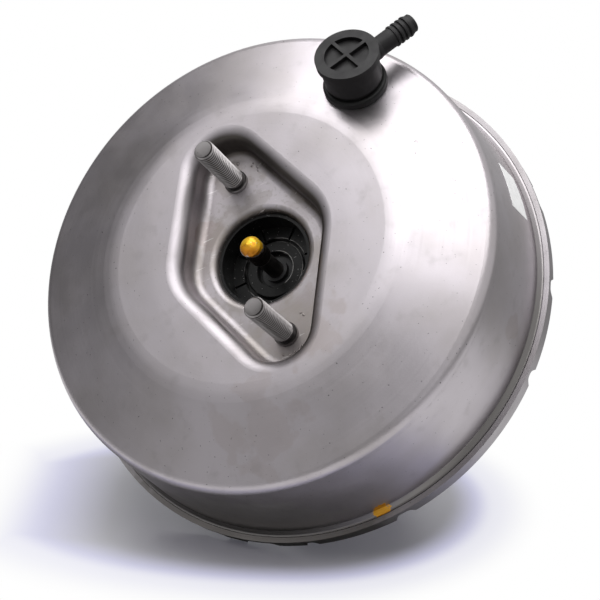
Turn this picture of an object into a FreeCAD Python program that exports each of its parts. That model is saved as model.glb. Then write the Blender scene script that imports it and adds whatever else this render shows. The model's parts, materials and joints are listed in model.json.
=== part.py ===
"""Vacuum brake booster with a single diaphragm, modelled as separate pieces.

Axis Y is the booster's axis and the front, where the master cylinder bolts on, points to -Y.
The origin lies on the bore's axis in the master cylinder's mounting face. +Z is up.
Most pieces are profiles of (radius, station along Y) turned about the booster's axis.
"""
import FreeCAD
import Part
import math
import os
import Sketcher
from FreeCAD import Placement, Rotation, Vector
from types import SimpleNamespace

# Driving dimensions, millimetres and degrees. Each is one cell of the sheet "Sizes".
SIZES = {
    # pressed front shell
    "shell_sheet": 1.8,
    "plateau_radius": 69.0,
    "recess_depth": 15.3,
    "crown_inset": 7.4,
    "crown_setback": 10.9,
    "skirt_inset": 2.4,
    "flange_station": 50.4,
    "flange_radius": 117.2,
    "plateau_round": 32.0,
    "crown_round": 5.0,
    "flare_round": 1.7,
    "flare_back_round": 3.5,
    # diamond recess round the two studs
    "stud_offset": 41.5,
    "recess_end_radius": 15.3,
    "recess_corner_radius": 22.5,
    "recess_side_angle": 25.0,
    "recess_draft": 3.0,
    "recess_top_round": 6.5,
    "recess_floor_round": 4.2,
    # bore for the master cylinder's nose
    "bore_radius": 22.5,
    "bore_lip_round": 3.4,
    "bore_neck_length": 8.0,
    # rear shell and its collar with the locking lugs
    "rear_sheet": 2.0,
    "collar_sheet": 2.4,
    "collar_gap": 0.3,
    "collar_length": 8.5,
    "rear_ledge_inset": 8.7,
    "rear_step_width": 5.0,
    "rear_step_depth": 7.6,
    "rear_face_radius": 64.0,
    "rear_face_station": 82.0,
    "rear_neck_radius": 27.5,
    "rear_neck_length": 26.0,
    "collar_round": 1.6,
    "lug_gap_depth": 5.8,
    "lug_gap_ramp": 2.6,
    "lug_gap_lead": 0.2,
    "lug_gap_round": 0.7,
    "lug_gap_overrun": 5.0,
    "lug_gap_slit": 5.0,
    "lug_gap_narrow": 6.5,
    "lug_gap_small": 7.5,
    "lug_gap_middle": 8.5,
    "lug_gap_wide": 13.0,
    "lug_gap_widest": 15.0,
    # plates and studs
    "front_plate_thickness": 3.0,
    "front_plate_inset": 1.0,
    "front_plate_hole_radius": 27.0,
    "front_stud_radius": 4.93,
    "front_stud_length": 36.0,
    "front_stud_collar_radius": 5.6,
    "front_stud_collar_height": 1.9,
    "front_stud_relief_radius": 4.25,
    "front_stud_relief_height": 1.3,
    "front_stud_head_radius": 7.5,
    "stud_head_height": 3.0,
    "stud_tip_chamfer": 1.0,
    "stud_hole_clearance": 0.25,
    "rear_plate_thickness": 3.0,
    "rear_plate_side": 92.0,
    "rear_plate_corner_round": 14.0,
    "rear_plate_hole_radius": 30.5,
    "rear_stud_square": 70.0,
    "rear_stud_radius": 3.93,
    "rear_stud_length": 25.0,
    "rear_stud_head_radius": 6.5,
    "rear_stud_shank_step": 0.4,
    # black cup in the bore that guides the output rod
    "fit_gap": 0.05,
    "seat_gap": 0.3,
    "cup_wall": 1.4,
    "cup_mouth_station": 3.5,
    "cup_floor_station": 15.6,
    "cup_floor_thickness": 4.9,
    "cup_flange_radius": 33.0,
    "cup_flange_thickness": 1.7,
    "cup_segment_inner_radius": 15.4,
    "cup_groove_depth": 2.9,
    "cup_slot_width": 1.1,
    "cup_slot_depth": 1.6,
    "cup_slot_count": 8,
    "carrier_radius": 14.0,
    "carrier_recess_radius": 9.0,
    "carrier_recess_depth": 4.2,
    "carrier_hole_radius": 6.4,
    "rod_seal_lip_height": 3.4,
    # output rod
    "output_rod_radius": 4.0,
    "output_rod_step_station": 0.0,
    "output_head_radius": 10.8,
    "output_head_thickness": 3.9,
    "tip_radius": 4.95,
    "tip_dome_height": 3.2,
    "tip_cap_length": 8.2,
    "tip_groove_depth": 0.35,
    "tip_groove_width": 0.8,
    "tip_thread_radius": 2.5,
    "tip_thread_length": 12.0,
    "tip_shoulder_inset": 1.4,
    "tip_shoulder_height": 1.0,
    # power piston and what it carries
    "hub_station": 54.5,
    "hub_radius": 21.5,
    "hub_flange_radius": 34.0,
    "hub_flange_station": 64.0,
    "hub_flange_thickness": 2.8,
    "piston_neck_radius": 19.0,
    "piston_neck_station": 74.2,
    "piston_end_station": 146.0,
    "piston_chamber_radius": 15.0,
    "piston_chamber_station": 85.0,
    "piston_chamber_step": 1.0,
    "piston_pocket_radius": 11.0,
    "piston_pocket_depth": 10.0,
    "reaction_disc_thickness": 5.4,
    "retainer_wall": 0.8,
    "retainer_length": 5.0,
    "plate_sheet": 1.4,
    "plate_flat_radius": 60.0,
    "plate_cone_width": 5.5,
    "plate_cone_rise": 6.0,
    "plate_rim_inset": 6.0,
    "plate_rim_length": 14.0,
    "diaphragm_thickness": 2.0,
    "diaphragm_wall_gap": 0.6,
    "diaphragm_bead_width": 6.2,
    "inner_bead_radius": 27.0,
    "inner_bead_depth": 4.4,
    "key_thickness": 2.4,
    "key_width": 12.0,
    "key_reach": 23.2,
    "key_station": 79.5,
    "key_gap": 0.3,
    "key_slot_play": 1.6,
    # air valve, input rod and clevis
    "plunger_radius": 4.95,
    "plunger_bore_radius": 5.0,
    "plunger_nose_gap": 1.4,
    "plunger_groove_radius": 3.2,
    "plunger_flange_radius": 11.0,
    "plunger_flange_thickness": 2.4,
    "plunger_cup_radius": 7.8,
    "plunger_cup_length": 12.0,
    "ball_radius": 5.0,
    "ball_gap": 0.06,
    "ball_station": 94.5,
    "ball_neck_radius": 3.3,
    "ball_mouth_radius": 4.4,
    "input_rod_radius": 4.8,
    "input_rod_shoulder_station": 101.0,
    "input_rod_end_station": 176.0,
    "input_rod_shoulder_length": 1.5,
    "input_rod_chamfer": 1.0,
    "rod_collar_radius": 9.2,
    "rod_collar_station": 121.0,
    "rod_collar_thickness": 1.6,
    "poppet_face_inner_radius": 8.6,
    "poppet_face_radius": 13.6,
    "poppet_face_thickness": 2.2,
    "poppet_wall": 1.1,
    "poppet_length": 14.0,
    "poppet_bead_height": 4.0,
    "poppet_retainer_wall": 1.0,
    "felt_thickness": 5.0,
    "felt_station": 124.5,
    "filter_thickness": 13.0,
    "filter_hole_radius": 8.4,
    "filter_gap": 0.2,
    "nut_across_flats": 17.0,
    "nut_height": 6.0,
    "clevis_station": 166.0,
    "clevis_width": 26.0,
    "clevis_gap": 14.0,
    "clevis_height": 22.0,
    "clevis_bridge": 11.0,
    "clevis_eye_distance": 25.0,
    "clevis_eye_radius": 5.05,
    # neck of the rear shell
    "neck_ring_length": 6.0,
    "neck_seal_length": 11.0,
    "neck_seal_groove": 1.5,
    "neck_cover_thickness": 1.4,
    "neck_cover_lip": 7.0,
    # dust boot
    "boot_wall": 1.3,
    "boot_grip_length": 7.0,
    "boot_peak_radius": 34.0,
    "boot_valley_radius": 28.6,
    "boot_fold_pitch": 7.4,
    "boot_fold_count": 5,
    "boot_end_clearance": 1.2,
    "boot_lip_length": 6.0,
    "boot_fold_start": 1.0,
    "boot_fold_thickness": 1.8,
    # springs
    "return_wire_radius": 1.9,
    "return_front_radius": 30.4,
    "return_rear_radius": 39.0,
    "return_turns": 5.5,
    "input_wire_radius": 0.8,
    "input_spring_radius": 7.2,
    "input_turns": 4.5,
    "poppet_wire_radius": 0.5,
    "poppet_spring_radius": 10.3,
    "poppet_turns": 4.0,
    "valve_wire_radius": 0.35,
    "valve_spring_radius": 4.2,
    "valve_turns": 4.0,
    # check valve, measured outwards from the shell's surface along its own axis
    "valve_clock": 127.0,
    "valve_inset": 1.4,
    "nipple_clock": 14.6,
    "grommet_radius": 14.7,
    "grommet_flange": 3.6,
    "grommet_boss_radius": 12.6,
    "grommet_boss": 1.7,
    "grommet_groove_radius": 10.4,
    "grommet_tail_radius": 13.2,
    "grommet_tail": 2.4,
    "grommet_tail_taper": 1.0,
    "grommet_sheet_play": 0.36,
    "valve_stem_radius": 7.0,
    "valve_stem_barb": 8.6,
    "valve_body_radius": 13.3,
    "valve_body_foot": 5.65,
    "valve_body_top": 17.0,
    "valve_chamber_radius": 10.5,
    "valve_chamber_floor": 8.2,
    "valve_port_radius": 4.0,
    "valve_seat_width": 1.0,
    "valve_barb_height": 3.0,
    "valve_barb_land": 1.0,
    "valve_seat_height": 0.7,
    "valve_disc_radius": 7.5,
    "valve_disc_thickness": 1.8,
    "valve_disc_gap": 0.2,
    "cap_radius": 14.6,
    "cap_thickness": 3.4,
    "cap_well_radius": 10.1,
    "cap_well_depth": 2.1,
    "cap_rib_width": 1.6,
    "nipple_height": 11.6,
    "nipple_root_radius": 5.1,
    "nipple_neck_radius": 4.65,
    "nipple_bore_radius": 3.0,
    "nipple_neck_end": 24.0,
    "nipple_root_length": 1.0,
    "nipple_root_taper": 2.0,
    "nipple_end_chamfer": 0.5,
    "nipple_rib_rise": 0.2,
    "nipple_rib_land": 0.7,
    "nipple_rib_radius": 5.15,
    "nipple_rib_pitch": 2.5,
    "nipple_rib_count": 4,
    "nipple_land_radius": 4.45,
    "nipple_land_length": 1.9,
}

# Gaps between the locking lugs of the collar: clock angle of the middle, and which width it has.
LUG_GAPS = (
    (88.0, "wide"), (66.0, "small"), (45.5, "narrow"), (5.0, "middle"), (-17.0, "slit"), (-29.0, "widest"),
    (-40.5, "middle"), (-62.0, "middle"), (-84.0, "wide"), (-106.0, "small"), (-127.0, "narrow"),
    (-150.0, "middle"), (-172.0, "wide"), (166.0, "small"), (144.0, "middle"), (110.0, "narrow"),
)

SPRING_FACETS = 12
WIRE_FACETS = 6
RING_TOLERANCE = 0.02
EDGE_TOLERANCE = 0.05


class Size:
    """A length, angle or count: its value, and the expression on the sheet that gives it."""

    def __init__(self, value, text):
        self.value = float(value)
        self.text = text

    def __add__(self, other):
        other = as_size(other)
        if other.text == "0":
            return self
        if self.text == "0":
            return other
        return Size(self.value + other.value, f"({self.text} + {other.text})")

    def __sub__(self, other):
        other = as_size(other)
        if other.text == "0":
            return self
        if other.text == self.text:
            return as_size(0)
        return Size(self.value - other.value, f"({self.text} - {other.text})")

    def __mul__(self, other):
        other = as_size(other)
        if "0" in (self.text, other.text):
            return as_size(0)
        if other.text == "1":
            return self
        if self.text == "1":
            return other
        return Size(self.value * other.value, f"({self.text} * {other.text})")

    def __truediv__(self, other):
        other = as_size(other)
        if self.text == "0" or other.text == "1":
            return self
        return Size(self.value / other.value, f"({self.text} / {other.text})")

    def __neg__(self):
        return self if self.text == "0" else Size(-self.value, f"(0 - {self.text})")

    __radd__ = __add__
    __rmul__ = __mul__

    def __rsub__(self, other):
        return as_size(other) - self

    def __rtruediv__(self, other):
        return as_size(other) / self


def as_size(number):
    """A plain number as a Size; a Size stays as it is."""
    if isinstance(number, Size):
        return number
    return Size(number, f"{number:g}")


def root_of(size):
    return Size(math.sqrt(size.value), f"sqrt({size.text})")


def sine(angle):
    return Size(math.sin(math.radians(angle.value)), f"sin({angle.text})")


def cosine(angle):
    return Size(math.cos(math.radians(angle.value)), f"cos({angle.text})")


doc = FreeCAD.newDocument("brake_booster")
sheet = doc.addObject("Spreadsheet::Sheet", "Sizes")
for row, (alias, number) in enumerate(SIZES.items(), start=1):
    sheet.set(f"A{row}", alias)
    sheet.set(f"B{row}", str(number))
    sheet.setAlias(f"B{row}", alias)
doc.recompute()
S = SimpleNamespace(**{alias: Size(number, f"Sizes.{alias}") for alias, number in SIZES.items()})

NODES = []
FRONT_FACE = as_size(0)


def bind(item, prop, size):
    """Tie a property to the sheet, or set it where the size is a plain number."""
    size = as_size(size)
    if "Sizes." in size.text:
        item.setExpression(prop, size.text)
    else:
        setattr(item, prop, size.value)


def new_body(label):
    body = doc.addObject("PartDesign::Body", label)
    body.Label = label
    return body


def node(item, label):
    """Register a finished object as a sub-part; its label names its file."""
    item.Label = label
    NODES.append(item)
    return item


def origin_plane(body, role):
    return next(item for item in body.Origin.OriginFeatures if item.Role == role)


def new_sketch(body, plane, lift=0, turn=0):
    """An empty sketch on one of the body's own planes, lifted along the plane's normal."""
    sketch = body.newObject("Sketcher::SketchObject", f"{body.Name}_sketch")
    sketch.AttachmentSupport = [(origin_plane(body, plane), "")]
    sketch.MapMode = "FlatFace"
    lift = as_size(lift)
    turn = as_size(turn)
    sketch.AttachmentOffset = Placement(Vector(0, 0, lift.value), Rotation(Vector(0, 0, 1), turn.value))
    if "Sizes." in lift.text:
        sketch.setExpression("AttachmentOffset.Base.z", lift.text)
    return sketch


def pin_point(sketch, geometry, corner, point):
    """Dimension one point of a sketch from the origin, both ways."""
    for kind, size in zip(("DistanceX", "DistanceY"), point):
        size = as_size(size)
        index = sketch.addConstraint(Sketcher.Constraint(kind, -1, 1, geometry, corner, size.value))
        if "Sizes." in size.text:
            sketch.setExpression(f"Constraints[{index}]", size.text)


def add_polygon(sketch, points):
    """A closed outline of straight sides whose corners are dimensioned from the origin."""
    corners = [Vector(as_size(x).value, as_size(y).value, 0) for x, y in points]
    count = len(corners)
    first = sketch.GeometryCount
    for index in range(count):
        sketch.addGeometry(Part.LineSegment(corners[index], corners[(index + 1) % count]), False)
    for index in range(count):
        following = first + (index + 1) % count
        sketch.addConstraint(Sketcher.Constraint("Coincident", first + index, 2, following, 1))
    for index, point in enumerate(points):
        pin_point(sketch, first + index, 1, point)


def add_circle(sketch, centre, radius):
    """A circle with its centre and radius dimensioned."""
    radius = as_size(radius)
    middle = Vector(as_size(centre[0]).value, as_size(centre[1]).value, 0)
    index = sketch.addGeometry(Part.Circle(middle, Vector(0, 0, 1), radius.value), False)
    pin_point(sketch, index, 3, centre)
    constraint = sketch.addConstraint(Sketcher.Constraint("Radius", index, radius.value))
    if "Sizes." in radius.text:
        sketch.setExpression(f"Constraints[{constraint}]", radius.text)


def turn_profile(body, points, groove=False):
    """Turn a closed profile of (radius, station) about the body's Y axis."""
    sketch = new_sketch(body, "XY_Plane")
    add_polygon(sketch, points)
    kind = "Groove" if groove else "Revolution"
    feature = body.newObject(f"PartDesign::{kind}", f"{body.Name}_{kind.lower()}")
    feature.Profile = sketch
    feature.ReferenceAxis = (sketch, ["V_Axis"])
    feature.Angle = 360
    body.Tip = feature
    doc.recompute()
    return feature


def turned(label, points, rounds=()):
    """A turned body; rounds lists (radius, station, fillet) of rings to be rounded."""
    body = new_body(label)
    turn_profile(body, points)
    for radius, station, fillet in rounds:
        round_ring(body, radius, station, fillet)
    return body


def ring_names(shape, radius, station):
    """Names of the circular edges about Y with this radius at this station."""
    names = []
    for index, edge in enumerate(shape.Edges, start=1):
        curve = edge.Curve
        if not isinstance(curve, Part.Circle):
            continue
        same_size = abs(curve.Radius - as_size(radius).value) < RING_TOLERANCE
        if same_size and abs(curve.Center.y - as_size(station).value) < RING_TOLERANCE:
            names.append(f"Edge{index}")
    return names


def loop_names(shape, station, reach):
    """Names of the edges that lie in the plane at this station within a reach of the axis."""
    names = []
    for index, edge in enumerate(shape.Edges, start=1):
        box = edge.BoundBox
        flat = abs(box.YMin - station.value) < EDGE_TOLERANCE and abs(box.YMax - station.value) < EDGE_TOLERANCE
        near = max(abs(box.XMin), abs(box.XMax), abs(box.ZMin), abs(box.ZMax)) < reach.value
        if flat and near:
            names.append(f"Edge{index}")
    return names


def round_edges(body, names, fillet, kind="Fillet"):
    """Fillet or chamfer the named edges of the body's last feature."""
    base = body.Tip
    feature = body.newObject(f"PartDesign::{kind}", f"{body.Name}_{kind.lower()}")
    feature.Base = (base, names)
    bind(feature, "Radius" if kind == "Fillet" else "Size", fillet)
    body.Tip = feature
    doc.recompute()
    return feature


def round_ring(body, radius, station, fillet):
    return round_edges(body, ring_names(body.Shape, radius, station), fillet)


def chamfer_ring(body, radius, station, size):
    return round_edges(body, ring_names(body.Shape, radius, station), size, kind="Chamfer")


def extrude(body, sketch, length, cut=False, both_ways=False, rearward=False):
    """Pad or pocket a sketch; rearward sends a sketch on the XZ plane towards +Y."""
    kind = "Pocket" if cut else "Pad"
    feature = body.newObject(f"PartDesign::{kind}", f"{body.Name}_{kind.lower()}")
    feature.Profile = sketch
    feature.Midplane = both_ways
    feature.Reversed = rearward != cut
    bind(feature, "Length", length)
    body.Tip = feature
    doc.recompute()
    return feature


def unit(start, end):
    """Direction of the straight run between two profile points."""
    along = as_size(end[0]) - as_size(start[0])
    across = as_size(end[1]) - as_size(start[1])
    if along.text == "0":
        return as_size(0), as_size(math.copysign(1, across.value))
    if across.text == "0":
        return as_size(math.copysign(1, along.value)), as_size(0)
    length = root_of(along * along + across * across)
    return along / length, across / length


def sheet_profile(points, thickness):
    """Closed profile of a bent sheet: the given face, and the same face offset to its left."""
    directions = [unit(a, b) for a, b in zip(points, points[1:])]
    normals = [(-across, along) for along, across in directions]
    offset = []
    for index, (x, y) in enumerate(points):
        before = normals[max(index - 1, 0)]
        after = normals[min(index, len(normals) - 1)]
        if index in (0, len(points) - 1):
            shift = after if index == 0 else before
        else:
            mitre = 1 + before[0] * after[0] + before[1] * after[1]
            shift = ((before[0] + after[0]) / mitre, (before[1] + after[1]) / mitre)
        offset.append((as_size(x) + shift[0] * thickness, as_size(y) + shift[1] * thickness))
    return list(points) + offset[::-1]


def diamond(sketch, widen):
    """Rounded diamond round the two studs: two end arcs, two corner arcs and four sides."""
    widen = as_size(widen)
    side = S.recess_side_angle
    end_radius = S.recess_end_radius + widen
    corner_radius = S.recess_corner_radius + widen
    rise = (S.stud_offset * sine(side) + S.recess_end_radius - S.recess_corner_radius) / cosine(side)
    turn = 90 - side.value
    arcs = (
        ((S.stud_offset, as_size(0)), end_radius, -turn, turn),
        ((as_size(0), rise), corner_radius, turn, 180 - turn),
        ((-S.stud_offset, as_size(0)), end_radius, 180 - turn, 180 + turn),
        ((as_size(0), -rise), corner_radius, 180 + turn, 360 - turn),
    )
    made = []
    for centre, radius, start, end in arcs:
        circle = Part.Circle(Vector(centre[0].value, centre[1].value, 0), Vector(0, 0, 1), radius.value)
        made.append(Part.ArcOfCircle(circle, math.radians(start), math.radians(end)))
        sketch.addGeometry(made[-1], False)
    count = len(arcs)
    for index in range(count):
        run = Part.LineSegment(made[index].EndPoint, made[(index + 1) % count].StartPoint)
        sketch.addGeometry(run, False)
    for index in range(count):
        sketch.addConstraint(Sketcher.Constraint("Tangent", index, 2, count + index, 1))
        sketch.addConstraint(Sketcher.Constraint("Tangent", count + index, 2, (index + 1) % count, 1))
    for index, (centre, radius, start, end) in enumerate(arcs):
        pin_point(sketch, index, 3, centre)
        constraint = sketch.addConstraint(Sketcher.Constraint("Radius", index, radius.value))
        sketch.setExpression(f"Constraints[{constraint}]", radius.text)


def diamond_loft(body, stations, widths, cut=False):
    """Loft between two diamonds at two stations along Y."""
    sketches = []
    for station, widen in zip(stations, widths):
        sketch = new_sketch(body, "XZ_Plane", lift=-as_size(station))
        diamond(sketch, widen)
        sketches.append(sketch)
    doc.recompute()
    kind = "SubtractiveLoft" if cut else "AdditiveLoft"
    feature = body.newObject(f"PartDesign::{kind}", f"{body.Name}_loft")
    feature.Profile = sketches[0]
    feature.Sections = [sketches[1]]
    feature.Ruled = True
    body.Tip = feature
    doc.recompute()
    return feature


def coil(label, wire, turns, ends, radii):
    """A coil spring between two seats; its wire is a faceted sweep along straight runs."""
    low = ends[0].value + wire.value
    high = ends[1].value - wire.value
    steps = int(round(turns.value * SPRING_FACETS))
    path = []
    for index in range(steps + 1):
        share = index / steps
        angle = 2 * math.pi * turns.value * share
        radius = radii[0].value + (radii[1].value - radii[0].value) * share
        station = low + (high - low) * share
        path.append(Vector(radius * math.cos(angle), station, radius * math.sin(angle)))
    spine = Part.makePolygon(path)
    tangent = (path[1] - path[0]).normalize()
    across = tangent.cross(Vector(0, 1, 0)).normalize()
    upward = across.cross(tangent)
    section = []
    for index in range(WIRE_FACETS + 1):
        angle = 2 * math.pi * (index % WIRE_FACETS) / WIRE_FACETS
        section.append(path[0] + across * wire.value * math.cos(angle) + upward * wire.value * math.sin(angle))
    solid = spine.makePipeShell([Part.makePolygon(section)], True, False, 1)
    feature = doc.addObject("Part::Feature", label)
    feature.Shape = solid
    return node(feature, label)


# Stations and radii that several pieces share
plateau = -S.recess_depth
crown = plateau + S.crown_setback
crown_radius = S.flange_radius - S.crown_inset
skirt_radius = S.flange_radius - S.skirt_inset
rear_shank = S.rear_stud_radius + S.rear_stud_shank_step
valve_reach = (S.plateau_radius + crown_radius) / 2 - S.valve_inset
ledge_radius = S.flange_radius - S.rear_ledge_inset
step_radius = ledge_radius - S.rear_step_width
plate_rim = step_radius - S.plate_rim_inset
plate_cone = plate_rim - S.plate_cone_width
flange_back = S.flange_station + S.shell_sheet
collar_inner = S.flange_radius + S.collar_gap
collar_outer = collar_inner + S.collar_sheet
collar_back = S.flange_station + S.collar_length
ledge_front = collar_back - S.rear_sheet
rear_face_inside = S.rear_face_station - S.rear_sheet
neck_end = S.rear_face_station + S.rear_neck_length
neck_bore = S.rear_neck_radius - S.rear_sheet
front_plate_back = S.shell_sheet + S.front_plate_thickness
cup_outer = S.bore_radius - S.fit_gap
cup_inner = cup_outer - S.cup_wall
cup_back = S.cup_floor_station + S.cup_floor_thickness
cup_flange_front = S.bore_neck_length + S.fit_gap
cup_flange_back = cup_flange_front + S.cup_flange_thickness
hub_flange_back = S.hub_flange_station + S.hub_flange_thickness
plate_back = hub_flange_back + S.plate_sheet
pocket_floor = S.hub_station + S.piston_pocket_depth
disc_front = pocket_floor - S.reaction_disc_thickness
head_front = disc_front - S.output_head_thickness
diaphragm_front = plate_back + S.seat_gap


def diamond_width(station, wall):
    """How far the recess is wider than its floor at a station, outside a wall of this thickness."""
    slant = sine(S.recess_draft) / cosine(S.recess_draft)
    return wall / cosine(S.recess_draft) - station * slant


def valve_frame():
    """Place of the check valve: local +Y leaves the shell, local +X runs along the hose nipple."""
    slope = math.atan2(SIZES["crown_setback"], crown_radius.value - SIZES["plateau_radius"])
    clock = math.radians(SIZES["valve_clock"])
    outward = Vector(math.cos(clock), 0, math.sin(clock))
    reach = valve_reach.value
    station = plateau.value + (reach - SIZES["plateau_radius"]) * math.tan(slope)
    normal = Vector(0, -math.cos(slope), 0) + outward * math.sin(slope)
    downhill = outward * math.cos(slope) + Vector(0, math.sin(slope), 0)
    turn = math.radians(SIZES["nipple_clock"])
    nipple = downhill * math.cos(turn) + downhill.cross(normal) * math.sin(turn)
    third = nipple.cross(normal)
    matrix = FreeCAD.Matrix(
        nipple.x, normal.x, third.x, 0,
        nipple.y, normal.y, third.y, 0,
        nipple.z, normal.z, third.z, 0,
        0, 0, 0, 1,
    )
    place = Placement(matrix)
    place.Base = outward * reach + Vector(0, station, 0)
    return place


def front_shell():
    """Deep-drawn front shell with the diamond recess, the necked bore and the valve's hole."""
    face = [
        (as_size(0), plateau),
        (S.plateau_radius, plateau),
        (crown_radius, crown),
        (skirt_radius, S.flange_station),
        (S.flange_radius, S.flange_station),
    ]
    body = turned("front_shell_pressing", sheet_profile(face, S.shell_sheet))
    inner = sheet_profile(face, S.shell_sheet)[::-1][:len(face)]
    round_ring(body, *face[1], S.plateau_round)
    round_ring(body, *inner[1], S.plateau_round - S.shell_sheet)
    round_ring(body, *face[2], S.crown_round)
    round_ring(body, *inner[2], S.crown_round - S.shell_sheet)
    round_ring(body, *face[3], S.flare_round)
    round_ring(body, *inner[3], S.flare_back_round)
    boss_stations = (plateau, S.shell_sheet)
    diamond_loft(body, boss_stations, [diamond_width(y, S.shell_sheet) for y in boss_stations])
    recess_stations = (FRONT_FACE, plateau - S.shell_sheet)
    diamond_loft(body, recess_stations, [diamond_width(y, as_size(0)) for y in recess_stations], cut=True)
    reach = S.plateau_radius
    round_edges(body, loop_names(body.Shape, plateau, reach), S.recess_top_round)
    round_edges(body, loop_names(body.Shape, FRONT_FACE, reach), S.recess_floor_round)
    inside_plateau = plateau + S.shell_sheet
    round_edges(body, loop_names(body.Shape, inside_plateau, reach - S.shell_sheet),
                S.recess_top_round - S.shell_sheet)
    round_edges(body, loop_names(body.Shape, S.shell_sheet, reach), S.recess_floor_round + S.shell_sheet)
    neck = new_sketch(body, "XZ_Plane")
    add_circle(neck, (0, 0), S.bore_radius + S.shell_sheet)
    extrude(body, neck, S.bore_neck_length, rearward=True)
    holes = new_sketch(body, "XZ_Plane")
    add_circle(holes, (0, 0), S.bore_radius)
    for side in (-1, 1):
        add_circle(holes, (S.stud_offset * side, 0), S.front_stud_collar_radius + S.fit_gap)
    extrude(body, holes, S.bore_neck_length * 4, cut=True, both_ways=True)
    round_ring(body, S.bore_radius, FRONT_FACE, S.bore_lip_round)
    hole = body.newObject("PartDesign::SubtractiveCylinder", "grommet_hole")
    bind(hole, "Radius", S.grommet_groove_radius + S.fit_gap)
    bind(hole, "Height", S.shell_sheet * 6)
    turn = Placement(Vector(0, 0, 0), Rotation(Vector(1, 0, 0), -90))
    lower = Placement(Vector(0, -3 * S.shell_sheet.value, 0), Rotation())
    hole.Placement = valve_frame().multiply(lower).multiply(turn)
    body.Tip = hole
    doc.recompute()
    node(body, "front_shell")


def rear_shell():
    """Rear shell with the neck, and the collar whose lugs lock it to the front shell."""
    step_station = collar_back + S.rear_step_depth
    face = [
        (S.rear_neck_radius, neck_end),
        (S.rear_neck_radius, S.rear_face_station),
        (S.rear_face_radius, S.rear_face_station),
        (step_radius, step_station),
        (ledge_radius, collar_back),
        (collar_outer, collar_back),
    ]
    wall = sheet_profile(face, -S.rear_sheet)
    split = len(face)
    outline = wall[:split] + [(collar_outer, S.flange_station), (collar_inner, S.flange_station),
                              (collar_inner, ledge_front)] + wall[split + 1:]
    body = turned("rear_shell_pressing", outline)
    round_ring(body, *face[1], S.rear_sheet)
    round_ring(body, *face[2], S.rear_sheet * 4)
    round_ring(body, *face[3], S.rear_sheet * 2)
    round_ring(body, collar_outer, collar_back, S.collar_round)
    holes = new_sketch(body, "XZ_Plane", lift=-S.rear_face_station)
    half = S.rear_stud_square / 2
    for side in (-1, 1):
        for level in (-1, 1):
            add_circle(holes, (half * side, half * level), rear_shank + S.stud_hole_clearance)
    extrude(body, holes, S.rear_sheet * 4, cut=True, both_ways=True)
    gaps = doc.addObject("Part::Feature", "lug_gaps")
    gaps.Shape = Part.makeCompound([lug_gap(clock, SIZES[f"lug_gap_{width}"]) for clock, width in LUG_GAPS])
    shell = doc.addObject("Part::Cut", "rear_shell")
    shell.Base = body
    shell.Tool = gaps
    doc.recompute()
    node(shell, "rear_shell")


def lug_gap(clock, width):
    """Cutter for one gap between two lugs: a smooth dip from the collar's rear edge."""
    edge = collar_back.value
    deep = edge - SIZES["lug_gap_depth"]
    rear = edge + SIZES["lug_gap_overrun"]
    lead = SIZES["lug_gap_lead"]
    bend = SIZES["lug_gap_round"]
    half = width / 2
    ramp = min(SIZES["lug_gap_ramp"], half - bend)
    inner = collar_inner.value - bend
    side = [(half + ramp, edge + lead), (half + ramp / 2, edge - bend), (half, (edge + deep) / 2),
            (half - ramp / 2, deep + bend), (half - ramp, deep)]
    points = [Vector(x, y, inner) for x, y in side]
    mirrored = [Vector(-p.x, p.y, p.z) for p in reversed(points)]
    right = Part.BSplineCurve()
    right.interpolate(points)
    left = Part.BSplineCurve()
    left.interpolate(mirrored)
    top = Vector(points[0].x, rear, inner)
    top_left = Vector(-points[0].x, rear, inner)
    edges = [
        right.toShape(),
        Part.makeLine(points[-1], mirrored[0]),
        left.toShape(),
        Part.makeLine(mirrored[-1], top_left),
        Part.makeLine(top_left, top),
        Part.makeLine(top, points[0]),
    ]
    cutter = Part.Face(Part.Wire(edges)).extrude(Vector(0, 0, SIZES["lug_gap_overrun"] * 2))
    cutter.rotate(Vector(0, 0, 0), Vector(0, 1, 0), 90 - clock)
    return cutter


def front_studs_and_plate():
    """The diamond plate behind the mounting face and the two studs pressed into it."""
    plate = new_body("front_plate_blank")
    outline = new_sketch(plate, "XZ_Plane", lift=-S.shell_sheet)
    diamond(outline, -S.front_plate_inset)
    extrude(plate, outline, S.front_plate_thickness, rearward=True)
    holes = new_sketch(plate, "XZ_Plane", lift=-S.shell_sheet)
    add_circle(holes, (0, 0), S.front_plate_hole_radius)
    for side in (-1, 1):
        add_circle(holes, (S.stud_offset * side, 0), S.front_stud_radius + S.fit_gap)
    extrude(plate, holes, S.front_plate_thickness * 3, cut=True, both_ways=True)
    node(plate, "front_reinforcement_plate")
    tip = -S.front_stud_length
    radius = S.front_stud_radius
    relief = -S.front_stud_collar_height - S.front_stud_relief_height
    profile = [
        (0, tip), (radius - S.stud_tip_chamfer, tip), (radius, tip + S.stud_tip_chamfer), (radius, relief),
        (S.front_stud_relief_radius, relief), (S.front_stud_relief_radius, -S.front_stud_collar_height),
        (S.front_stud_collar_radius, -S.front_stud_collar_height), (S.front_stud_collar_radius, S.shell_sheet),
        (radius, S.shell_sheet), (radius, front_plate_back), (S.front_stud_head_radius, front_plate_back),
        (S.front_stud_head_radius, front_plate_back + S.stud_head_height),
        (0, front_plate_back + S.stud_head_height),
    ]
    stud_group("master_cylinder_studs", profile, [(S.stud_offset * side, as_size(0)) for side in (-1, 1)])


def stud_group(label, profile, places):
    """Equal studs turned from one profile, each standing at its own (x, z)."""
    studs = []
    for index, (x, z) in enumerate(places):
        body = turned(f"{label}_{index + 1}", profile)
        body.setExpression("Placement.Base.x", x.text)
        body.setExpression("Placement.Base.z", z.text)
        studs.append(body)
    group = doc.addObject("Part::Compound", label)
    group.Links = studs
    doc.recompute()
    node(group, label)


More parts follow.
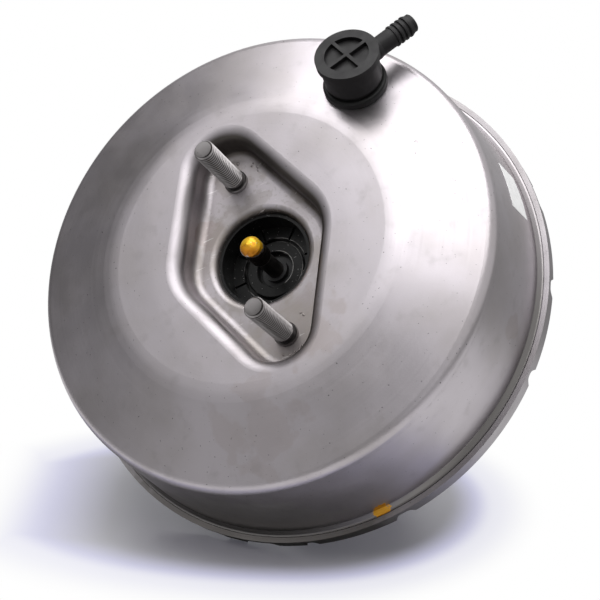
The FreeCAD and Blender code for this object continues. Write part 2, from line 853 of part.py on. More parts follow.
def rear_studs_and_plate():
    """The square plate inside the rear shell and the four firewall studs pressed into it."""
    plate = new_body("rear_plate_blank")
    front = rear_face_inside - S.rear_plate_thickness
    outline = new_sketch(plate, "XZ_Plane", lift=-front)
    half = S.rear_plate_side / 2
    add_polygon(outline, [(-half, -half), (half, -half), (half, half), (-half, half)])
    extrude(plate, outline, S.rear_plate_thickness, rearward=True)
    corners = [f"Edge{index}" for index, edge in enumerate(plate.Shape.Edges, start=1)
               if edge.BoundBox.YLength > S.rear_plate_thickness.value / 2]
    round_edges(plate, corners, S.rear_plate_corner_round)
    holes = new_sketch(plate, "XZ_Plane", lift=-front)
    add_circle(holes, (0, 0), S.rear_plate_hole_radius)
    spread = S.rear_stud_square / 2
    places = [(spread * side, spread * level) for side in (-1, 1) for level in (-1, 1)]
    for place in places:
        add_circle(holes, place, rear_shank + S.fit_gap)
    extrude(plate, holes, S.rear_plate_thickness * 3, cut=True, both_ways=True)
    node(plate, "rear_reinforcement_plate")
    radius = S.rear_stud_radius
    tip = S.rear_face_station + S.rear_stud_length
    profile = [
        (0, front - S.stud_head_height), (S.rear_stud_head_radius, front - S.stud_head_height),
        (S.rear_stud_head_radius, front), (rear_shank, front), (rear_shank, S.rear_face_station),
        (radius, S.rear_face_station), (radius, tip - S.stud_tip_chamfer),
        (radius - S.stud_tip_chamfer, tip), (0, tip),
    ]
    stud_group("firewall_studs", profile, places)


def rod_guide():
    """Black cup in the bore with its segmented floor, the seal carrier and the rod's seal."""
    groove_floor = S.cup_floor_station + S.cup_groove_depth
    carrier_bore = S.carrier_radius + S.fit_gap
    profile = [
        (cup_inner, S.cup_mouth_station), (cup_outer, S.cup_mouth_station), (cup_outer, cup_flange_front),
        (S.cup_flange_radius, cup_flange_front), (S.cup_flange_radius, cup_flange_back),
        (cup_outer, cup_flange_back), (cup_outer, cup_back), (carrier_bore, cup_back),
        (carrier_bore, groove_floor), (S.cup_segment_inner_radius, groove_floor),
        (S.cup_segment_inner_radius, S.cup_floor_station), (cup_inner, S.cup_floor_station),
    ]
    body = turned("rod_guide_cup_blank", profile)
    slot = new_sketch(body, "XZ_Plane", lift=-S.cup_floor_station)
    half = S.cup_slot_width / 2
    inner = S.cup_segment_inner_radius - half
    add_polygon(slot, [(inner, -half), (cup_inner, -half), (cup_inner, half), (inner, half)])
    pocket = extrude(body, slot, S.cup_slot_depth, cut=True, rearward=True)
    pattern = body.newObject("PartDesign::PolarPattern", "segment_slots")
    pattern.Originals = [pocket]
    pattern.Axis = (slot, ["N_Axis"])
    pattern.Angle = 360
    pattern.Occurrences = int(SIZES["cup_slot_count"])
    body.Tip = pattern
    doc.recompute()
    node(body, "rod_guide_cup")
    recess_floor = S.cup_floor_station + S.carrier_recess_depth
    carrier = turned("rod_seal_carrier", [
        (S.carrier_recess_radius, S.cup_floor_station), (S.carrier_radius, S.cup_floor_station),
        (S.carrier_radius, cup_back), (S.carrier_hole_radius, cup_back),
        (S.carrier_hole_radius, recess_floor), (S.carrier_recess_radius, recess_floor),
    ])
    chamfer_ring(carrier, S.carrier_radius, S.cup_floor_station, S.fit_gap * 10)
    node(carrier, "rod_seal_carrier")
    seal_bore = S.output_rod_radius + S.fit_gap
    seal_outer = S.carrier_hole_radius - S.fit_gap
    lip = recess_floor - S.rod_seal_lip_height
    shoulder = seal_outer + (S.carrier_recess_radius - seal_outer) / 2
    rim = seal_outer - S.cup_wall / 2
    seat = recess_floor - S.fit_gap
    node(turned("rod_seal", [
        (seal_bore, lip), (rim, lip), (rim, seat - S.cup_wall / 2), (shoulder, seat - S.cup_wall / 2),
        (shoulder, seat), (seal_outer, seat), (seal_outer, cup_back), (seal_bore, cup_back),
    ]), "rod_seal")


def neck_pieces():
    """Guide ring, seal and end cover inside the rear shell's neck."""
    bore = S.piston_neck_radius + S.fit_gap
    outer = neck_bore - S.fit_gap
    ring_front = S.key_station + S.key_thickness + S.key_gap
    ring_back = ring_front + S.neck_ring_length
    node(turned("neck_guide_ring", [
        (bore, ring_front), (outer, ring_front), (outer, ring_back), (bore, ring_back),
    ]), "neck_guide_ring")
    seal_front = ring_back + S.fit_gap
    seal_back = seal_front + S.neck_seal_length
    groove = (bore + outer) / 2
    node(turned("neck_seal", [
        (bore, seal_front), (outer, seal_front), (outer, seal_back),
        (groove + S.neck_seal_groove, seal_back), (groove, seal_back - S.neck_seal_groove * 2),
        (groove - S.neck_seal_groove, seal_back), (bore, seal_back),
    ]), "neck_seal")
    cover_wall = S.rear_neck_radius + S.fit_gap
    cover_outer = cover_wall + S.neck_cover_thickness
    cover_front = neck_end - S.neck_cover_lip
    cover_back = neck_end + S.fit_gap + S.neck_cover_thickness
    node(turned("neck_end_cover", [
        (cover_wall, cover_front), (cover_outer, cover_front), (cover_outer, cover_back),
        (bore + S.seat_gap, cover_back), (bore + S.seat_gap, neck_end + S.fit_gap),
        (cover_wall, neck_end + S.fit_gap),
    ]), "neck_end_cover")


def diaphragm_and_plate():
    """Pressed support plate, and the rubber diaphragm behind it with its rolled outer part."""
    rim = hub_flange_back - S.plate_cone_rise
    bore = S.piston_neck_radius + S.retainer_length / 2
    face = [
        (bore + S.fit_gap, hub_flange_back), (S.plate_flat_radius, hub_flange_back),
        (plate_cone, rim), (plate_rim, rim), (plate_rim, rim - S.plate_rim_length),
    ]
    plate = turned("diaphragm_plate", sheet_profile(face, S.plate_sheet))
    round_ring(plate, S.plate_flat_radius, hub_flange_back, S.plate_sheet * 6)
    node(plate, "diaphragm_plate")
    thick = S.diaphragm_thickness
    bead_front = flange_back + S.fit_gap
    bead_back = ledge_front - S.fit_gap
    roll = ledge_radius - S.rear_sheet / 2 - S.diaphragm_wall_gap
    bead = S.flange_radius - S.diaphragm_bead_width
    shift = plate_back - hub_flange_back + S.seat_gap
    inner = bore + S.fit_gap
    inner_bead_back = diaphragm_front + S.inner_bead_depth
    profile = [
        (inner, diaphragm_front), (S.plate_flat_radius, diaphragm_front),
        (plate_cone, rim + shift + S.seat_gap), (plate_rim + thick, rim + shift + S.seat_gap),
        (roll - thick, bead_back - thick), (bead, bead_back - thick),
        (bead, bead_front), (S.flange_radius - S.fit_gap, bead_front),
        (S.flange_radius - S.fit_gap, bead_back), (roll, bead_back),
        (plate_rim + thick * 2, rim + shift + S.seat_gap + thick),
        (plate_cone, rim + shift + S.seat_gap + thick), (S.plate_flat_radius, diaphragm_front + thick),
        (S.inner_bead_radius, diaphragm_front + thick), (S.inner_bead_radius, inner_bead_back),
        (inner, inner_bead_back),
    ]
    node(turned("diaphragm", profile), "diaphragm")


def power_piston():
    """Moulded valve body with its hub, neck, stop key slot and inner passages."""
    bore = S.piston_neck_radius + S.retainer_length / 2
    seat = S.piston_chamber_station - S.piston_chamber_step
    profile = [
        (S.piston_pocket_radius, S.hub_station), (S.hub_radius, S.hub_station),
        (S.hub_radius, S.hub_flange_station), (S.hub_flange_radius, S.hub_flange_station),
        (S.hub_flange_radius, hub_flange_back), (bore - S.fit_gap, hub_flange_back),
        (bore - S.fit_gap, S.piston_neck_station), (S.piston_neck_radius, S.piston_neck_station),
        (S.piston_neck_radius, S.piston_end_station), (S.piston_chamber_radius, S.piston_end_station),
        (S.piston_chamber_radius, S.piston_chamber_station),
        (S.plunger_flange_radius + S.seat_gap, seat), (S.plunger_bore_radius, seat),
        (S.plunger_bore_radius, pocket_floor),
        (S.piston_pocket_radius, pocket_floor),
    ]
    body = turned("power_piston_moulding", profile)
    slot_front = S.key_station
    slot_back = S.key_station + S.key_thickness + S.key_slot_play / 4
    slot = new_sketch(body, "XY_Plane")
    reach = S.piston_neck_radius * 2
    add_polygon(slot, [(-reach, slot_front), (reach, slot_front), (reach, slot_back), (-reach, slot_back)])
    extrude(body, slot, S.key_width + S.seat_gap * 2, cut=True, both_ways=True)
    passages = new_sketch(body, "XZ_Plane", lift=-S.piston_chamber_station)
    middle = (S.plunger_flange_radius + S.plunger_bore_radius) / 2
    for side in (-1, 1):
        add_circle(passages, (0, middle * side), S.key_thickness / 2)
    extrude(body, passages, S.piston_chamber_station - S.key_station, cut=True)
    node(body, "power_piston")
    node(turned("reaction_disc", [
        (0, disc_front), (S.output_head_radius, disc_front),
        (S.output_head_radius, pocket_floor - S.fit_gap), (0, pocket_floor - S.fit_gap),
    ]), "reaction_disc")
    head_back = disc_front - S.fit_gap
    bore_end = S.output_rod_step_station + S.tip_thread_length + S.seat_gap
    node(turned("output_rod", [
        (S.tip_thread_radius + S.fit_gap, S.output_rod_step_station),
        (S.output_rod_radius, S.output_rod_step_station),
        (S.output_rod_radius, head_front), (S.output_head_radius, head_front),
        (S.output_head_radius, head_back), (0, head_back), (0, bore_end),
        (S.tip_thread_radius + S.fit_gap, bore_end),
    ]), "output_rod")
    output_tip()
    inner = S.output_rod_radius + S.seat_gap
    outer = S.hub_radius + S.fit_gap
    front = S.hub_station - S.fit_gap - S.retainer_wall
    node(turned("output_rod_retainer", [
        (inner + S.retainer_wall, front), (outer + S.retainer_wall, front),
        (outer + S.retainer_wall, front + S.retainer_length), (outer, front + S.retainer_length),
        (outer, front + S.retainer_wall), (inner + S.retainer_wall, front + S.retainer_wall),
    ]), "output_rod_retainer")


def output_tip():
    """Domed adjusting tip screwed into the output rod's end."""
    foot = S.output_rod_step_station - S.fit_gap
    nose = plateau
    dome_foot = nose + S.tip_dome_height
    shoulder = (S.tip_radius - S.tip_shoulder_inset, nose + S.tip_shoulder_height)
    cap_end = nose + S.tip_cap_length
    waist = S.tip_radius - S.tip_groove_depth
    node(turned("output_rod_tip", [
        (0, nose), shoulder, (S.tip_radius, dome_foot),
        (S.tip_radius, cap_end), (waist, cap_end), (waist, cap_end + S.tip_groove_width),
        (S.tip_radius, cap_end + S.tip_groove_width), (S.tip_radius, foot),
        (S.tip_thread_radius, foot), (S.tip_thread_radius, foot + S.tip_thread_length),
        (0, foot + S.tip_thread_length),
    ], rounds=[(*shoulder, S.tip_radius / 2)]), "output_rod_tip")


def stop_key():
    """Forked key that passes through the power piston and holds the plunger's travel."""
    body = new_body("stop_key_blank")
    outline = new_sketch(body, "XZ_Plane", lift=-S.key_station)
    half = S.key_width / 2
    fork = S.plunger_groove_radius + S.key_gap
    reach = S.key_reach
    add_polygon(outline, [
        (-reach, -half), (reach, -half), (reach, -fork), (-fork, -fork), (-fork, fork), (reach, fork),
        (reach, half), (-reach, half),
    ])
    extrude(body, outline, S.key_thickness, rearward=True)
    node(body, "stop_key")


def air_valve():
    """Plunger with its ball socket, poppet, poppet retainer, and the two ring filters."""
    front = pocket_floor + S.plunger_nose_gap
    groove_front = S.key_station - S.key_gap
    groove_back = S.key_station + S.key_thickness + S.key_slot_play
    flange_front = S.piston_chamber_station + S.seat_gap
    flange_back_station = flange_front + S.plunger_flange_thickness
    cup_end = flange_back_station + S.plunger_cup_length
    body = turned("air_valve_plunger_blank", [
        (0, front), (S.plunger_radius, front), (S.plunger_radius, groove_front),
        (S.plunger_groove_radius, groove_front), (S.plunger_groove_radius, groove_back),
        (S.plunger_radius, groove_back), (S.plunger_radius, flange_front),
        (S.plunger_flange_radius, flange_front), (S.plunger_flange_radius, flange_back_station),
        (S.plunger_cup_radius, flange_back_station), (S.plunger_cup_radius, cup_end), (0, cup_end),
    ])
    socket = body.newObject("PartDesign::SubtractiveSphere", "ball_socket")
    bind(socket, "Radius", S.ball_radius + S.ball_gap)
    socket.Placement.Base = Vector(0, S.ball_station.value, 0)
    socket.setExpression("Placement.Base.y", S.ball_station.text)
    body.Tip = socket
    doc.recompute()
    turn_profile(body, [
        (0, S.ball_station), (S.ball_mouth_radius, S.ball_station),
        (S.ball_mouth_radius, cup_end + S.seat_gap), (0, cup_end + S.seat_gap),
    ], groove=True)
    node(body, "air_valve_plunger")
    face_front = flange_back_station + S.seat_gap
    face_back = face_front + S.poppet_face_thickness
    poppet_end = face_front + S.poppet_length
    bead_front = poppet_end - S.poppet_bead_height
    sleeve = S.poppet_face_radius - S.poppet_wall
    bead = S.piston_chamber_radius - S.fit_gap
    node(turned("poppet_valve", [
        (S.poppet_face_inner_radius, face_front), (S.poppet_face_radius, face_front),
        (S.poppet_face_radius, bead_front), (bead, bead_front), (bead, poppet_end), (sleeve, poppet_end),
        (sleeve, face_back), (S.poppet_face_inner_radius, face_back),
    ]), "poppet_valve")
    retainer_outer = sleeve - S.fit_gap
    retainer_inner = retainer_outer - S.poppet_retainer_wall
    seat_inner = S.input_spring_radius - S.input_wire_radius - S.seat_gap
    retainer_back = poppet_end + S.fit_gap + S.poppet_retainer_wall
    node(turned("poppet_retainer", [
        (retainer_inner, bead_front), (retainer_outer, bead_front),
        (retainer_outer, poppet_end + S.fit_gap), (bead, poppet_end + S.fit_gap), (bead, retainer_back),
        (seat_inner, retainer_back), (seat_inner, poppet_end + S.fit_gap),
        (retainer_inner, poppet_end + S.fit_gap),
    ]), "poppet_retainer")
    coil("poppet_spring", S.poppet_wire_radius, S.poppet_turns,
         (face_back + S.fit_gap, poppet_end), (S.poppet_spring_radius, S.poppet_spring_radius))
    coil("input_return_spring", S.input_wire_radius, S.input_turns,
         (retainer_back + S.seat_gap, S.rod_collar_station - S.seat_gap),
         (S.input_spring_radius, S.input_spring_radius))
    ring_outer = S.piston_chamber_radius - S.filter_gap
    felt_back = S.felt_station + S.felt_thickness
    node(turned("silencer_felt", [
        (S.filter_hole_radius, S.felt_station), (ring_outer, S.felt_station),
        (ring_outer, felt_back), (S.filter_hole_radius, felt_back),
    ]), "silencer_felt")
    filter_front = felt_back + S.filter_gap
    filter_back = filter_front + S.filter_thickness
    node(turned("air_filter", [
        (S.filter_hole_radius, filter_front), (ring_outer, filter_front),
        (ring_outer, filter_back), (S.filter_hole_radius, filter_back),
    ]), "air_filter")


def input_rod():
    """Ball-ended input rod with its spring collar, lock nut and clevis."""
    rod = S.input_rod_radius
    collar_front = S.rod_collar_station
    collar_rear = collar_front + S.rod_collar_thickness
    neck_front = S.ball_station + S.ball_radius / 2
    shoulder = S.input_rod_shoulder_station
    end = S.input_rod_end_station
    chamfer = S.input_rod_chamfer
    body = turned("input_rod_blank", [
        (0, neck_front), (S.ball_neck_radius, neck_front),
        (S.ball_neck_radius, shoulder), (rod, shoulder + S.input_rod_shoulder_length),
        (rod, collar_front), (S.rod_collar_radius - S.seat_gap, collar_front),
        (S.rod_collar_radius - S.seat_gap, collar_rear), (rod, collar_rear),
        (rod, end - chamfer), (rod - chamfer, end), (0, end),
    ])
    ball = body.newObject("PartDesign::AdditiveSphere", "ball_end")
    bind(ball, "Radius", S.ball_radius)
    ball.Placement.Base = Vector(0, S.ball_station.value, 0)
    ball.setExpression("Placement.Base.y", S.ball_station.text)
    body.Tip = ball
    doc.recompute()
    node(body, "input_rod")
    nut = new_body("lock_nut_blank")
    nut_front = S.clevis_station - S.fit_gap - S.nut_height
    outline = new_sketch(nut, "XZ_Plane", lift=-nut_front)
    corner = S.nut_across_flats / root_of(as_size(3))
    corners = []
    for index in range(6):
        angle = as_size(60 * index)
        corners.append((corner * cosine(angle), corner * sine(angle)))
    add_polygon(outline, corners)
    extrude(nut, outline, S.nut_height, rearward=True)
    bore = new_sketch(nut, "XZ_Plane", lift=-nut_front)
    add_circle(bore, (0, 0), rod + S.fit_gap)
    extrude(nut, bore, S.nut_height * 3, cut=True, both_ways=True)
    node(nut, "lock_nut")
    clevis(rod)


def clevis(rod):
    """Forged fork for the pedal's pin, screwed onto the input rod."""
    body = new_body("clevis_blank")
    eye = S.clevis_station + S.clevis_eye_distance
    half = S.clevis_height / 2
    side = new_sketch(body, "YZ_Plane")
    middle = Vector(eye.value, 0, 0)
    arc = Part.ArcOfCircle(Part.Circle(middle, Vector(0, 0, 1), half.value), -math.pi / 2, math.pi / 2)
    start = S.clevis_station
    sides = [
        (Vector(eye.value, half.value, 0), Vector(start.value, half.value, 0)),
        (Vector(start.value, half.value, 0), Vector(start.value, -half.value, 0)),
        (Vector(start.value, -half.value, 0), Vector(eye.value, -half.value, 0)),
    ]
    side.addGeometry(arc, False)
    for first, last in sides:
        side.addGeometry(Part.LineSegment(first, last), False)
    side.addConstraint(Sketcher.Constraint("Tangent", 0, 2, 1, 1))
    side.addConstraint(Sketcher.Constraint("Coincident", 1, 2, 2, 1))
    side.addConstraint(Sketcher.Constraint("Coincident", 2, 2, 3, 1))
    side.addConstraint(Sketcher.Constraint("Tangent", 3, 2, 0, 1))
    pin_point(side, 2, 1, (start, half))
    pin_point(side, 2, 2, (start, -half))
    pin_point(side, 0, 3, (eye, as_size(0)))
    doc.recompute()
    extrude(body, side, S.clevis_width, both_ways=True)
    gap = new_sketch(body, "XY_Plane")
    half_gap = S.clevis_gap / 2
    gap_front = S.clevis_station + S.clevis_bridge
    gap_back = eye + half * 2
    add_polygon(gap, [
        (-half_gap, gap_front), (half_gap, gap_front), (half_gap, gap_back), (-half_gap, gap_back),
    ])
    extrude(body, gap, S.clevis_height * 2, cut=True, both_ways=True)
    pin = new_sketch(body, "YZ_Plane")
    add_circle(pin, (eye, 0), S.clevis_eye_radius)
    extrude(body, pin, S.clevis_width * 2, cut=True, both_ways=True)
    thread = new_sketch(body, "XZ_Plane", lift=-S.clevis_station)
    add_circle(thread, (0, 0), rod + S.fit_gap)
    extrude(body, thread, S.clevis_bridge * 3, cut=True, both_ways=True)
    node(body, "clevis")


def dust_boot():
    """Rubber bellows from the rear shell's neck to the input rod, over the piston's neck."""
    wall = S.boot_wall
    grip = S.rear_neck_radius + S.neck_cover_thickness + S.fit_gap * 3
    start = neck_end - S.boot_grip_length
    end_wall = S.piston_end_station + S.boot_end_clearance
    first_fold = neck_end + S.neck_cover_thickness + S.boot_fold_start
    skin = S.boot_fold_thickness
    outer = [(grip + wall, start), (grip + wall, first_fold)]
    for index in range(int(SIZES["boot_fold_count"])):
        foot = first_fold + S.boot_fold_pitch * index
        outer.append((S.boot_peak_radius, foot + S.boot_fold_pitch / 2))
        outer.append((S.boot_valley_radius, foot + S.boot_fold_pitch))
    lip_bore = S.input_rod_radius + S.fit_gap
    outer += [
        (S.boot_valley_radius - wall, end_wall + wall), (lip_bore + wall * 2, end_wall + wall),
        (lip_bore + wall * 2, end_wall + S.boot_lip_length), (lip_bore, end_wall + S.boot_lip_length),
        (lip_bore, end_wall),
    ]
    inner = [(S.boot_valley_radius - wall * 2, end_wall)]
    for index in reversed(range(int(SIZES["boot_fold_count"]))):
        foot = first_fold + S.boot_fold_pitch * index
        if index + 1 < int(SIZES["boot_fold_count"]):
            inner.append((S.boot_valley_radius - skin, foot + S.boot_fold_pitch))
        inner.append((S.boot_peak_radius - skin, foot + S.boot_fold_pitch / 2))
    inner += [(grip, first_fold), (grip, start)]
    node(turned("dust_boot", outer + inner), "dust_boot")


def check_valve():
    """Check valve on the cone of the front shell: grommet, body, cap, disc and spring."""
    place = valve_frame()
    stem = S.valve_stem_radius
    grommet_bore = stem + S.fit_gap
    tail_top = -S.shell_sheet - S.grommet_sheet_play
    tail_end = tail_top - S.grommet_tail
    boss_top = S.grommet_flange + S.grommet_boss
    grommet = turned("check_valve_grommet", [
        (grommet_bore, boss_top), (S.grommet_boss_radius, boss_top),
        (S.grommet_boss_radius, S.grommet_flange), (S.grommet_radius, S.grommet_flange),
        (S.grommet_radius, 0), (S.grommet_groove_radius, 0), (S.grommet_groove_radius, tail_top),
        (S.grommet_tail_radius, tail_top), (S.grommet_tail_radius - S.grommet_tail_taper, tail_end),
        (grommet_bore, tail_end),
    ])
    round_ring(grommet, S.grommet_radius, S.grommet_flange, S.grommet_flange / 3)
    stem_end = tail_end - S.seat_gap
    barb_end = stem_end - S.valve_barb_height
    port = S.valve_port_radius
    seat_top = S.valve_chamber_floor + S.valve_seat_height
    body = turned("check_valve_body", [
        (port, barb_end), (stem, barb_end), (S.valve_stem_barb, stem_end - S.valve_barb_land),
        (S.valve_stem_barb, stem_end), (stem, stem_end), (stem, S.valve_body_foot),
        (S.valve_body_radius, S.valve_body_foot), (S.valve_body_radius, S.valve_body_top),
        (S.valve_chamber_radius, S.valve_body_top), (S.valve_chamber_radius, S.valve_chamber_floor),
        (port + S.valve_seat_width, S.valve_chamber_floor), (port + S.valve_seat_width, seat_top),
        (port, seat_top),
    ])
    nipple(body)
    cap_bottom = S.valve_body_top + S.fit_gap
    cap_top = cap_bottom + S.cap_thickness
    well = cap_top - S.cap_well_depth
    cap = turned("check_valve_cap", [
        (0, cap_bottom), (S.cap_radius, cap_bottom), (S.cap_radius, cap_top),
        (S.cap_well_radius, cap_top), (S.cap_well_radius, well), (0, well),
    ])
    span = S.cap_well_radius + S.seat_gap
    for length, width in ((span, S.cap_rib_width / 2), (S.cap_rib_width / 2, span)):
        rib = new_sketch(cap, "XZ_Plane", lift=-well)
        add_polygon(rib, [(-length, -width), (length, -width), (length, width), (-length, width)])
        extrude(cap, rib, S.cap_well_depth, rearward=True)
    disc_foot = seat_top + S.valve_disc_gap
    disc_top = disc_foot + S.valve_disc_thickness
    disc = turned("check_valve_disc", [
        (0, disc_foot), (S.valve_disc_radius, disc_foot), (S.valve_disc_radius, disc_top), (0, disc_top),
    ])
    spring_ends = (disc_top + S.fit_gap, cap_bottom - S.fit_gap)
    spring = coil("check_valve_spring", S.valve_wire_radius, S.valve_turns, spring_ends,
                  (S.valve_spring_radius, S.valve_spring_radius))
    for item in (grommet, body, cap, disc, spring):
        item.Placement = place
    for item in (grommet, body, cap, disc):
        node(item, item.Label)
    doc.recompute()


def nipple(body):
    """Barbed hose nipple on the side of the valve's body, turned about its own axis."""
    root = S.valve_chamber_radius + S.nipple_root_length
    shoulder = S.valve_body_radius + S.nipple_root_length
    neck = (shoulder + S.nipple_root_taper, S.nipple_neck_radius)
    outline = [(root, 0), (root, S.nipple_root_radius), (shoulder, S.nipple_root_radius), neck,
               (S.nipple_neck_end, S.nipple_neck_radius)]
    count = int(SIZES["nipple_rib_count"])
    for index in range(count):
        crest = S.nipple_neck_end + S.nipple_rib_pitch * index + S.nipple_rib_rise
        outline.append((crest, S.nipple_rib_radius))
        outline.append((crest + S.nipple_rib_land, S.nipple_rib_radius))
        outline.append((S.nipple_neck_end + S.nipple_rib_pitch * (index + 1), S.nipple_land_radius))
    end = S.nipple_neck_end + S.nipple_rib_pitch * count + S.nipple_land_length
    chamfer = S.nipple_end_chamfer
    outline += [(end - chamfer, S.nipple_land_radius), (end, S.nipple_land_radius - chamfer), (end, 0)]
    bore_end = end + chamfer
    for points, kind in ((outline, "Revolution"), (
            [(0, 0), (0, S.nipple_bore_radius), (bore_end, S.nipple_bore_radius), (bore_end, 0)], "Groove")):
        sketch = new_sketch(body, "XY_Plane")
        sketch.AttachmentOffset = Placement(Vector(0, S.nipple_height.value, 0), Rotation())
        sketch.setExpression("AttachmentOffset.Base.y", S.nipple_height.text)
        add_polygon(sketch, points)
        feature = body.newObject(f"PartDesign::{kind}", f"nipple_{kind.lower()}")
        feature.Profile = sketch
        feature.ReferenceAxis = (sketch, ["H_Axis"])
        feature.Angle = 360
        body.Tip = feature
        doc.recompute()


front_shell()
rear_shell()
front_studs_and_plate()
rear_studs_and_plate()
rod_guide()
neck_pieces()
diaphragm_and_plate()
power_piston()
stop_key()
air_valve()
input_rod()
dust_boot()
check_valve()
return_ends = (cup_flange_back + S.seat_gap, hub_flange_back - S.seat_gap)
coil("return_spring", S.return_wire_radius, S.return_turns, return_ends,
     (S.return_front_radius, S.return_rear_radius))
doc.recompute()

faults = [item.Label for item in doc.Objects if {"Invalid", "Error"} & set(item.State)]
for item in NODES:
    if item.Shape.isNull() or not item.Shape.isValid() or not item.Shape.Solids:
        faults.append(item.Label)
if faults:
    raise RuntimeError(f"failed objects: {faults}")
os.makedirs("parts", exist_ok=True)
for item in NODES:
    item.Shape.exportStep(f"parts/{item.Label}.step")
print(f"{len(NODES)} nodes written")
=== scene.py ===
"""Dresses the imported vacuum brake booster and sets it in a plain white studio.

Every length is in metres, in the row's frame: -Y is the front, where the master cylinder bolts on.
"""
from __future__ import annotations

import json
import logging
import math
from dataclasses import dataclass, field
from enum import Enum
from functools import cache
from typing import Callable, Iterable, Sequence

import bmesh
import bpy
from bpy.types import ID, Material, Mesh, Node, NodeSocket, NodeTree, Object
from mathutils import Matrix, Vector

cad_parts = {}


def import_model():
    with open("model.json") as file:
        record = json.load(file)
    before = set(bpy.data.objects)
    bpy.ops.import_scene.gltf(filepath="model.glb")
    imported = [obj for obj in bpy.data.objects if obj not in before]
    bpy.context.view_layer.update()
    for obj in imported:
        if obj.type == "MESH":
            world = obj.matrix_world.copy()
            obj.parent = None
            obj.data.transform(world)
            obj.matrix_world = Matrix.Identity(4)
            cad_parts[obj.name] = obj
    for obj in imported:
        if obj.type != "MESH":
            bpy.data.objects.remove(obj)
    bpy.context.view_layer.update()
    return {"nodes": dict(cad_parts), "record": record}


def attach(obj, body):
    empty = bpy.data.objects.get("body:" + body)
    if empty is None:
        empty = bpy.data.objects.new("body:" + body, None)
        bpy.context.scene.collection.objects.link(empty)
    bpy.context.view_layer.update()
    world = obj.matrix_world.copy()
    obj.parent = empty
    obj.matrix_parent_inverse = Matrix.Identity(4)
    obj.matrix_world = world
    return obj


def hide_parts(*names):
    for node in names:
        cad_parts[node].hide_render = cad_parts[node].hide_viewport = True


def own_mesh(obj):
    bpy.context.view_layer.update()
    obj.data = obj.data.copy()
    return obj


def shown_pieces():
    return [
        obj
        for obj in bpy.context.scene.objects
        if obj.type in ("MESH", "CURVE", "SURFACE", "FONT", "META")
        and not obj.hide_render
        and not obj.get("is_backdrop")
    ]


LOG = logging.getLogger("booster")
MM = 0.001
FULL_TURN = 2 * math.pi
# Name of the mesh attribute that holds the share of painted shade.
SHADE_ATTRIBUTE = "painted_shade"
SAME_POINT = 0.0001 * MM
TURNED_EDGE = math.radians(35)
THREAD_EDGE = math.radians(28)
RELIEF_DETAIL = 2.0

Colour = tuple[float, float, float]
Point = tuple[float, float, float]
Station = tuple[float, float]

SKIRT_FRONT: Station = (109.8 * MM, -4.4 * MM)
SKIRT_BACK: Station = (114.8 * MM, 50.4 * MM)
WHITE: Colour = (1.0, 1.0, 1.0)
ON_AXIS: tuple[Point, ...] = ((0.0, 0.0, 0.0),)


class Body(Enum):
    """Bodies of the frame that pieces ride on."""

    SHELL = "booster_shell"
    PISTON = "power_piston_assembly"
    INPUT_ROD = "input_rod_assembly"


class Grain(Enum):
    """Surface relief of a finish: scale of its noise and height of its bump."""

    DRAWN_SHEET = (1400.0, 0.000012)
    TURNED = (2600.0, 0.000010)
    MOULDED = (1900.0, 0.000020)
    RUBBER = (900.0, 0.000030)
    FIBRE = (700.0, 0.000250)


def shaded(colour: Colour, share: float) -> Colour:
    """Darken a colour to a share of itself."""
    return tuple(share * part for part in colour)


def grey(level: float) -> Colour:
    """Give a neutral colour."""
    return level, level, level


class Value:
    """A number or vector of a node tree, written with ordinary arithmetic."""

    def __init__(self, sketch: TreeSketch, socket: NodeSocket) -> None:
        """Wrap an output socket of the sketch's tree."""
        self.sketch = sketch
        self.socket = socket

    def apply(self, operation: str, *others: object) -> Value:
        """Apply a Math node to this number and others."""
        return self.sketch.maths(operation, self, *others)

    def clamped(self) -> Value:
        """Hold the number between 0 and 1."""
        return self.apply("MINIMUM", 1.0).apply("MAXIMUM", 0.0)

    def __add__(self, other: object) -> Value:
        """Sum."""
        return self.apply("ADD", other)

    def __sub__(self, other: object) -> Value:
        """Difference."""
        return self.apply("SUBTRACT", other)

    def __rsub__(self, other: object) -> Value:
        """Difference from a number."""
        return self.sketch.maths("SUBTRACT", other, self)

    def __mul__(self, other: object) -> Value:
        """Product."""
        return self.apply("MULTIPLY", other)

    def __truediv__(self, other: object) -> Value:
        """Quotient."""
        return self.apply("DIVIDE", other)


@dataclass(frozen=True)
class Mottle:
    """Noise, the band of it that turns from nothing into a mark, and the mark's strength."""

    scale: float
    detail: float
    low: float
    high: float
    strength: float = 1.0
    stretch: Point = (1.0, 1.0, 1.0)


